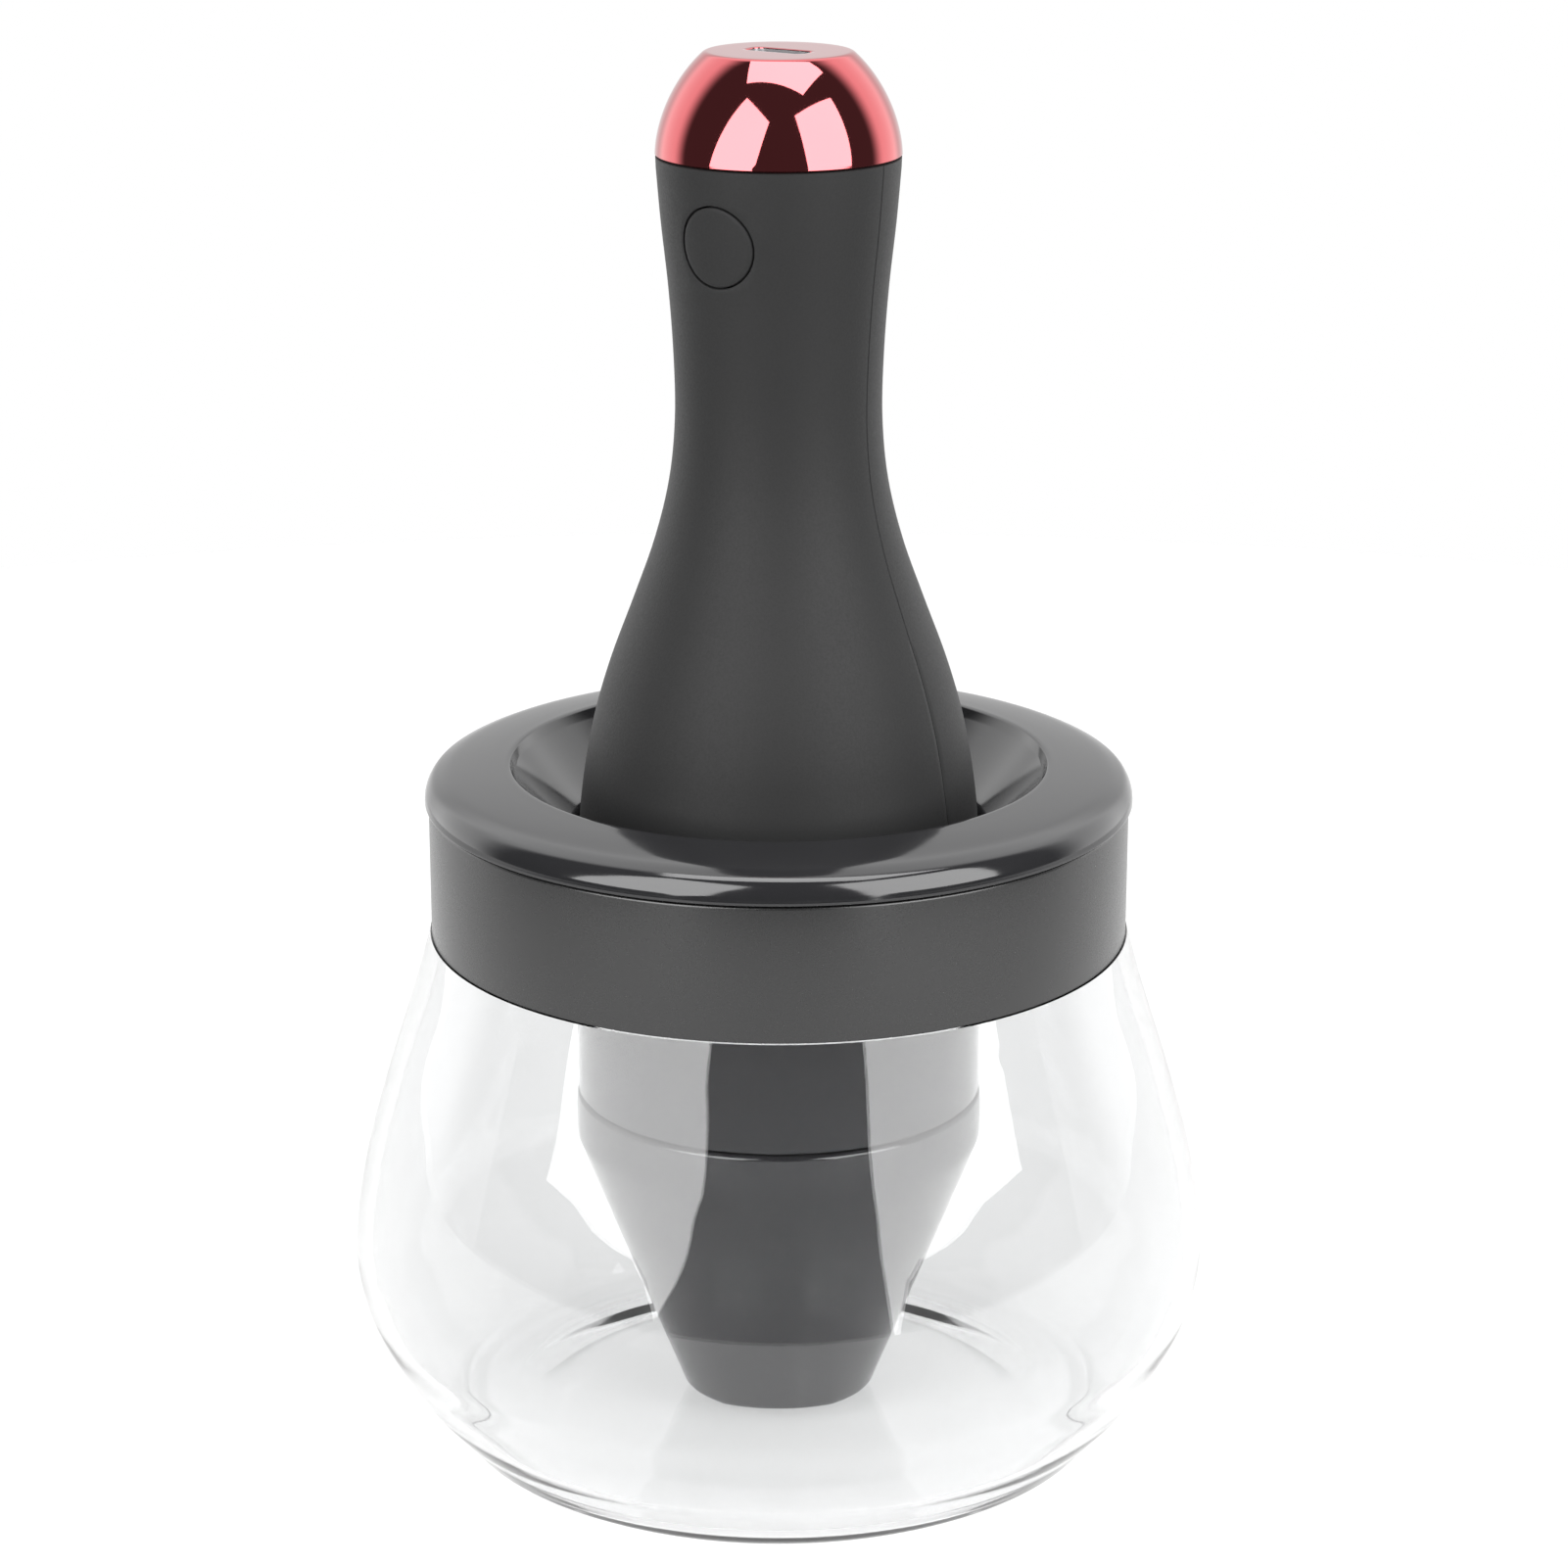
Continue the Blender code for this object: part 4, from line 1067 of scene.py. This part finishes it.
@dataclass
class HandleBase:
    """What closes the handle below: the cover with its screws, and the lip seal round the spindle."""

    segments: int = 144
    boss: float = 7.0
    seal_bore: float = 2.75
    recess: float = 2.3
    hole: float = 1.15
    screw_circle: float = 17.5
    screws: int = 3
    seal_segments: int = 96
    drill_segments: int = 40

    def build(self) -> None:
        """Builds the cover, its screws and the seal."""
        box = NodeBox.of("base_cover")
        seal = NodeBox.of("spindle_seal")
        low = NodeBox.of("cover_screw_1").bottom
        edge, high, foot = box.radius, box.top, box.bottom
        outline = rounded([
            (edge - 3, high), (edge, high, 0.2), (edge, low + 0.8, 0.5), (edge - 0.8, low, 0.6),
            (edge - 2.0, low, 0.2), (edge - 2.3, low + 0.35, 0.2), (edge - 2.9, low + 0.35, 0.2),
            (edge - 3.2, low, 0.2), (self.boss + 1.2, low, 1.0), (self.boss, low - 1, 1.0),
            (self.boss, foot, 0.3), (seal.radius + 0.3, foot, 0.2), (seal.radius + 0.3, seal.top + 0.3, 0.1),
            (4.3, seal.top + 0.3, 0.1), (4.3, high, 0.1), (edge - 3, high),
        ])[:-1]
        cover = finish_piece("handle_base_cover", Loft(self.segments).turn(outline).mesh(), "gloss_black",
                             Body.HANDLE, "base_cover")
        for i in range(self.screws):
            place = Matrix.Rotation(FULL_TURN * i / self.screws, 3, "Z") @ Vector((self.screw_circle, 0, 0))
            self.drill(cover, place, low)
            self.build_screw(f"cover_screw_{i + 1}", place)
        lip = rounded([
            (seal.radius, seal.bottom + 0.8), (seal.radius, seal.bottom, 0.2),
            (self.seal_bore + 1.0, seal.bottom, 0.3), (self.seal_bore + 0.5, seal.bottom + 0.6, 0.2),
            (self.seal_bore, seal.bottom + 0.2, 0.1), (self.seal_bore, seal.top, 0.2),
            (seal.radius, seal.top, 0.2), (seal.radius, seal.bottom + 0.8),
        ])[:-1]
        loft = Loft(self.seal_segments).turn(lip)
        finish_piece("spindle_lip_seal", loft.mesh(), "silicone", Body.HANDLE, "spindle_seal")

    def drill(self, cover: bpy.types.Object, place: Vector, low: float) -> None:
        """Sinks one screw recess into the cover.

        Args:
            cover: The base cover.
            place: The screw's place.
            low: The height of the cover's underside.
        """
        outline = [(0.01, low - 2), (self.recess, low - 2), (self.recess, low + 1.4), (self.hole, low + 1.4),
                   (self.hole, low + 5), (0.01, low + 5)]
        bm = Loft(self.drill_segments, closed=False).turn(outline).mesh()
        bmesh.ops.translate(bm, vec=place, verts=bm.verts)
        cutter = placed("drill", bm)
        modifier = cover.modifiers.new("recess", "BOOLEAN")
        modifier.operation = "DIFFERENCE"
        modifier.solver = "EXACT"
        modifier.object = cutter
        with bpy.context.temp_override(object=cover, active_object=cover):
            bpy.ops.object.modifier_apply(modifier=modifier.name)
        bpy.data.objects.remove(cutter, do_unlink=True)

    @staticmethod
    def build_screw(node: str, place: Vector) -> None:
        """Builds a pan-head screw with a cross recess.

        Args:
            node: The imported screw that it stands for.
            place: The screw's place.
        """
        box = NodeBox.of(node)
        low, top, count = box.bottom, box.top, 64
        head, head_height = 1.9, 1.1
        crest, root, point, half_pitch = 0.95, 0.78, 0.5, 0.35
        loft = Loft(count, closed=False)
        for reach, rise, arm in ((0.35, 0.75, 0.25), (1.15, 0.45, 0.32), (1.2, 0.0, 0.36)):
            loft.add(HandleBase.cross(reach, low + rise, count, arm))
        height = low + head_height
        loft.turn([(1.5, low + 0.02), (1.75, low + 0.2), (head, low + 0.55), (head, height), (crest, height)])
        ridges = int((top - height - 0.3) / half_pitch)
        loft.turn([(crest if i % 2 else root, height + (i + 1) * half_pitch) for i in range(ridges)])
        loft.turn([(point, top)])
        bm = loft.mesh()
        bmesh.ops.translate(bm, vec=place, verts=bm.verts)
        finish_piece(f"{node}_pan_head", bm, "steel", Body.HANDLE, node)

    @staticmethod
    def cross(radius: float, height: float, count: int, arm: float) -> Loop:
        """A four-armed loop, for a screw's cross recess.

        Args:
            radius: The arms' reach.
            height: The loop's height.
            count: Points in the loop.
            arm: Half an arm's width.

        Returns:
            The loop.
        """
        loop = []
        for place in circle(1.0, height, count):
            narrow = max(min(abs(place.x), abs(place.y)), 1e-6)
            reach = min(radius, arm / narrow)
            loop.append(Vector((place.x * reach, place.y * reach, height)))
        return loop


@dataclass
class DriveHead:
    """What turns under the handle: the drive head and the rubber collar that grips a brush."""

    head_bore: float = 2.65
    head_body: float = 6.0
    bore_top: float = 45.7
    collar_mouth: float = 7.4
    collar_bore: float = 3.5
    collar_socket: float = 6.5
    ribs: int = 12
    rib_depth: float = 0.05
    rib_foot: float = 2.5
    rib_head: float = 3.0
    rib_fade: float = 2.0
    flange_lip: float = 1.2
    petals: int = 4
    petal_depth: float = 0.3
    longest: float = 0.7
    segments: int = 192

    def build(self) -> None:
        """Builds the drive head and the collar."""
        self.build_head()
        self.build_collar()

    def build_head(self) -> None:
        """Builds the drive head, with a notched flange."""
        box = NodeBox.of("spindle_head")
        low, high, flange = box.bottom, box.top, box.radius
        outline = rounded([
            (0.5, self.bore_top), (self.head_bore, self.bore_top, 0.1), (self.head_bore, high, 0.2),
            (flange - 0.2, high, 0.2), (flange, high - 0.5, 0.2), (flange, high - 2.2, 0.4),
            (self.head_body + 0.2, high - 2.8, 0.4), (self.head_body, low + 0.8, 0.6),
            (self.head_body - 1, low, 0.3), (0.5, low),
        ])
        loft = Loft(self.segments, closed=False).turn(outline)
        for loop in loft.loops:
            for point in loop:
                radius = math.hypot(point.x, point.y)
                if radius > flange - self.flange_lip:
                    notch = max(0.0, math.cos(math.atan2(point.y, point.x) * self.ribs)) ** 6
                    point.xy *= 1 - self.rib_depth * notch
        finish_piece("drive_head", loft.mesh(), "inner_plastic", Body.ROTOR, "spindle_head")

    def build_collar(self) -> None:
        """Builds the collar: grip ribs round it, and a petalled bore that takes any brush end."""
        box = NodeBox.of("brush_collar")
        low, high, edge = box.bottom, box.top, box.radius
        floor = NodeBox.of("spindle_head").bottom - 0.3
        outline = rounded([
            (edge, high - 1.7), (edge, high - 3.4, 0.5), (self.collar_mouth + 1, low + 2.8, 1.0),
            (self.collar_mouth, low, 0.7), (self.collar_bore + 1.2, low, 0.5),
            (self.collar_bore, low + 2.0, 0.6), (self.collar_bore, floor, 0.3),
            (self.collar_socket, floor, 0.3), (self.collar_socket, high, 0.3), (edge - 0.3, high, 0.4),
            (edge, high - 1.7),
        ], 5)[:-1]
        loft = Loft(self.segments).turn(self.refined(outline, self.longest))
        for loop in loft.loops:
            for point in loop:
                self.shape_collar(point, low, high)
        finish_piece("brush_grip_collar", loft.mesh(), "soft_rubber", Body.ROTOR, "brush_collar")

    @staticmethod
    def refined(outline: list[Point], step: float) -> list[Point]:
        """The outline with stations no further apart than a step.

        Args:
            outline: The closed outline.
            step: The longest stretch allowed.

        Returns:
            The finer outline.
        """
        finer: list[Point] = []
        for start, end in zip(outline, outline[1:] + outline[:1]):
            parts = max(1, math.ceil(math.dist(start, end) / step))
            for i in range(parts):
                share = i / parts
                finer.append((start[0] + (end[0] - start[0]) * share, start[1] + (end[1] - start[1]) * share))
        return finer

    def shape_collar(self, point: Vector, low: float, high: float) -> None:
        """Presses the ribs and the petals into one point of the collar.

        Args:
            point: The point, which is moved.
            low: The collar's underside.
            high: The collar's top.
        """
        angle = math.atan2(point.y, point.x)
        radius = math.hypot(point.x, point.y)
        foot, head = low + self.rib_foot, high - self.rib_head
        if radius > self.collar_socket + 0.4 and foot < point.z < head:
            valley = max(0.0, math.cos(angle * self.ribs)) ** 2
            ease = min(1.0, (point.z - foot) / self.rib_fade, (head - point.z) / self.rib_fade)
            point.xy *= 1 - self.rib_depth * valley * ease
        elif radius < self.collar_bore + 0.3 and point.z < high:
            petal = max(0.0, math.cos(angle * self.petals)) ** 12
            point.xy *= 1 + self.petal_depth * petal


# ---------------------------------------------------------------- the set


@dataclass(frozen=True)
class Softbox:
    """A glowing cloth, given by its corners as (degrees right of the camera's side, reach, height)."""

    name: str
    corners: tuple[tuple[float, float, float], ...]
    radiance: float

    def build(self, azimuth: float) -> None:
        """Hangs the cloth.

        Args:
            azimuth: The camera side's direction round the object.
        """
        bm = bmesh.new()
        places = []
        for turn, reach, height in self.corners:
            angle = azimuth + math.radians(turn)
            places.append(bm.verts.new((math.sin(angle) * reach, -math.cos(angle) * reach, height)))
        bm.faces.new(places)
        cloth = placed(self.name, bm)
        material = bpy.data.materials.new(self.name)
        material.use_nodes = True
        tree = material.node_tree
        tree.nodes.clear()
        glow = tree.nodes.new("ShaderNodeEmission")
        glow.inputs["Strength"].default_value = self.radiance
        output = tree.nodes.new("ShaderNodeOutputMaterial")
        tree.links.new(glow.outputs["Emission"], output.inputs["Surface"])
        cloth.data.materials.append(material)
        cloth.visible_camera = False
        cloth.visible_shadow = False


@dataclass
class Studio:
    """The pale table, the white surround, the soft lights and the camera."""

    azimuth: float = math.radians(32.7)
    distance: float = 522.0
    height: float = 252.0
    pitch: float = math.radians(17.2)
    lens: float = 94.44
    shift: float = 0.0034
    table: float = 515.0
    table_height: float = -0.05
    table_foot: float = -18.0
    table_edge: float = 4.0
    table_glow: float = 0.54
    table_colour: float = 0.3
    bright: float = 2.3
    surround: tuple[Point, ...] = ((0.0, 0.42), (0.06, 0.5), (0.15, 0.9), (0.29, 0.88), (0.45, 0.05))
    softboxes: tuple[Softbox, ...] = (
        Softbox("softbox_left", ((-45.6, 600, 907), (-10.5, 760, 740), (-21.0, 820, 205), (-31.2, 850, 0),
                                 (-34.5, 850, 86), (-38.0, 850, 120), (-66.0, 850, 128)), 6.5),
        Softbox("softbox_right", ((18.9, 700, 781), (71.8, 650, 799), (70.0, 850, 128), (37.2, 850, 120),
                                  (33.4, 850, 88), (29.8, 850, -40), (28.8, 850, -40)), 6.5),
        Softbox("softbox_top", ((-59.6, 415, 880), (37.2, 503, 880), (93.9, 465, 880), (-138.0, 307, 880)), 6.5),
    )

    def build(self) -> None:
        """Sets the table, the surround, the lights and the camera."""
        self.build_table()
        self.build_surround()
        for softbox in self.softboxes:
            softbox.build(self.azimuth)
        self.build_camera()
        bpy.context.scene.view_settings.view_transform = "Standard"

    def build_table(self) -> None:
        """Builds the round white table top."""
        edge, top, foot = self.table_edge, self.table_height, self.table_foot
        outline = rounded([(edge, top), (self.table, top, edge), (self.table, foot, edge), (edge, foot)], 6)
        table = placed("table_top", Loft(160, closed=False).turn(outline).mesh())
        pale = Finish("table_white", (self.table_colour,) * 3, 0.6, colour_swing=0.01, grain_scale=400.0,
                      specular=0.2).build()
        shader = pale.node_tree.nodes["Principled BSDF"]
        shader.inputs["Emission Color"].default_value = (1, 1, 1, 1)
        shader.inputs["Emission Strength"].default_value = self.table_glow
        table.data.materials.append(pale)

    def build_surround(self) -> None:
        """Lights the surround: white behind and to the sides, dim on the camera's side."""
        world = bpy.data.worlds.new("surround")
        bpy.context.scene.world = world
        world.use_nodes = True
        tree = world.node_tree
        background = tree.nodes["Background"]
        background.inputs["Color"].default_value = (1, 1, 1, 1)
        outward = tree.nodes.new("ShaderNodeTexCoord").outputs["Generated"]
        facing = tree.nodes.new("ShaderNodeVectorMath")
        facing.operation = "DOT_PRODUCT"
        facing.inputs[1].default_value = (math.sin(self.azimuth), -math.cos(self.azimuth), 0.0)
        tree.links.new(outward, facing.inputs[0])
        unit = tree.nodes.new("ShaderNodeMapRange")
        unit.inputs["From Min"].default_value = -1.0
        tree.links.new(facing.outputs["Value"], unit.inputs["Value"])
        ramp = tree.nodes.new("ShaderNodeValToRGB")
        ramp.color_ramp.interpolation = "EASE"
        stops = ramp.color_ramp.elements
        while len(stops) < len(self.surround):
            stops.new(0.5)
        for stop, (place, level) in zip(stops, self.surround):
            stop.position = place
            stop.color = (level, level, level, 1.0)
        tree.links.new(unit.outputs["Result"], ramp.inputs["Fac"])
        level = tree.nodes.new("ShaderNodeMath")
        level.operation = "MULTIPLY"
        level.inputs[1].default_value = self.bright
        tree.links.new(ramp.outputs["Color"], level.inputs[0])
        path = tree.nodes.new("ShaderNodeLightPath")
        behind = tree.nodes.new("ShaderNodeMath")
        behind.operation = "LESS_THAN"
        behind.inputs[1].default_value = 0.0
        tree.links.new(facing.outputs["Value"], behind.inputs[0])
        through = tree.nodes.new("ShaderNodeMath")
        through.operation = "MULTIPLY"
        tree.links.new(path.outputs["Is Transmission Ray"], through.inputs[0])
        tree.links.new(behind.outputs["Value"], through.inputs[1])
        seen = tree.nodes.new("ShaderNodeMath")
        seen.operation = "MAXIMUM"
        tree.links.new(path.outputs["Is Camera Ray"], seen.inputs[0])
        tree.links.new(through.outputs["Value"], seen.inputs[1])
        white = tree.nodes.new("ShaderNodeMix")
        white.inputs["B"].default_value = 1.0
        tree.links.new(seen.outputs["Value"], white.inputs["Factor"])
        tree.links.new(level.outputs["Value"], white.inputs["A"])
        tree.links.new(white.outputs["Result"], background.inputs["Strength"])

    def build_camera(self) -> None:
        """Sets the camera a little above the object, looking down on it."""
        lens = bpy.data.cameras.new("camera")
        lens.lens = self.lens
        lens.shift_x = self.shift
        lens.clip_start, lens.clip_end = 0.01, 50.0
        camera = bpy.data.objects.new("camera", lens)
        bpy.context.scene.collection.objects.link(camera)
        camera.location = Vector((
            self.distance * math.sin(self.azimuth), -self.distance * math.cos(self.azimuth), self.height
        )) * MM
        camera.rotation_euler = (math.pi / 2 - self.pitch, 0, self.azimuth)
        bpy.context.scene.camera = camera


def dress_frame() -> None:
    """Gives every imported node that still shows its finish."""
    for slot, nodes in CAD_SLOTS.items():
        material = FINISHES[slot].build()
        for node in nodes:
            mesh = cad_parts[node].data
            mesh.materials.clear()
            mesh.materials.append(material)
            log.info("%s: %s", node, slot)


def main() -> None:
    """Builds the object from the bowl up, then the set round it."""
    logging.basicConfig(level=logging.INFO, format="%(name)s: %(message)s")
    Bowl().build()
    SplashRing().build()
    RestCup().build()
    Handle().build()
    HandleBase().build()
    DriveHead().build()
    dress_frame()
    Studio().build()


if __name__ == "__main__":
    main()
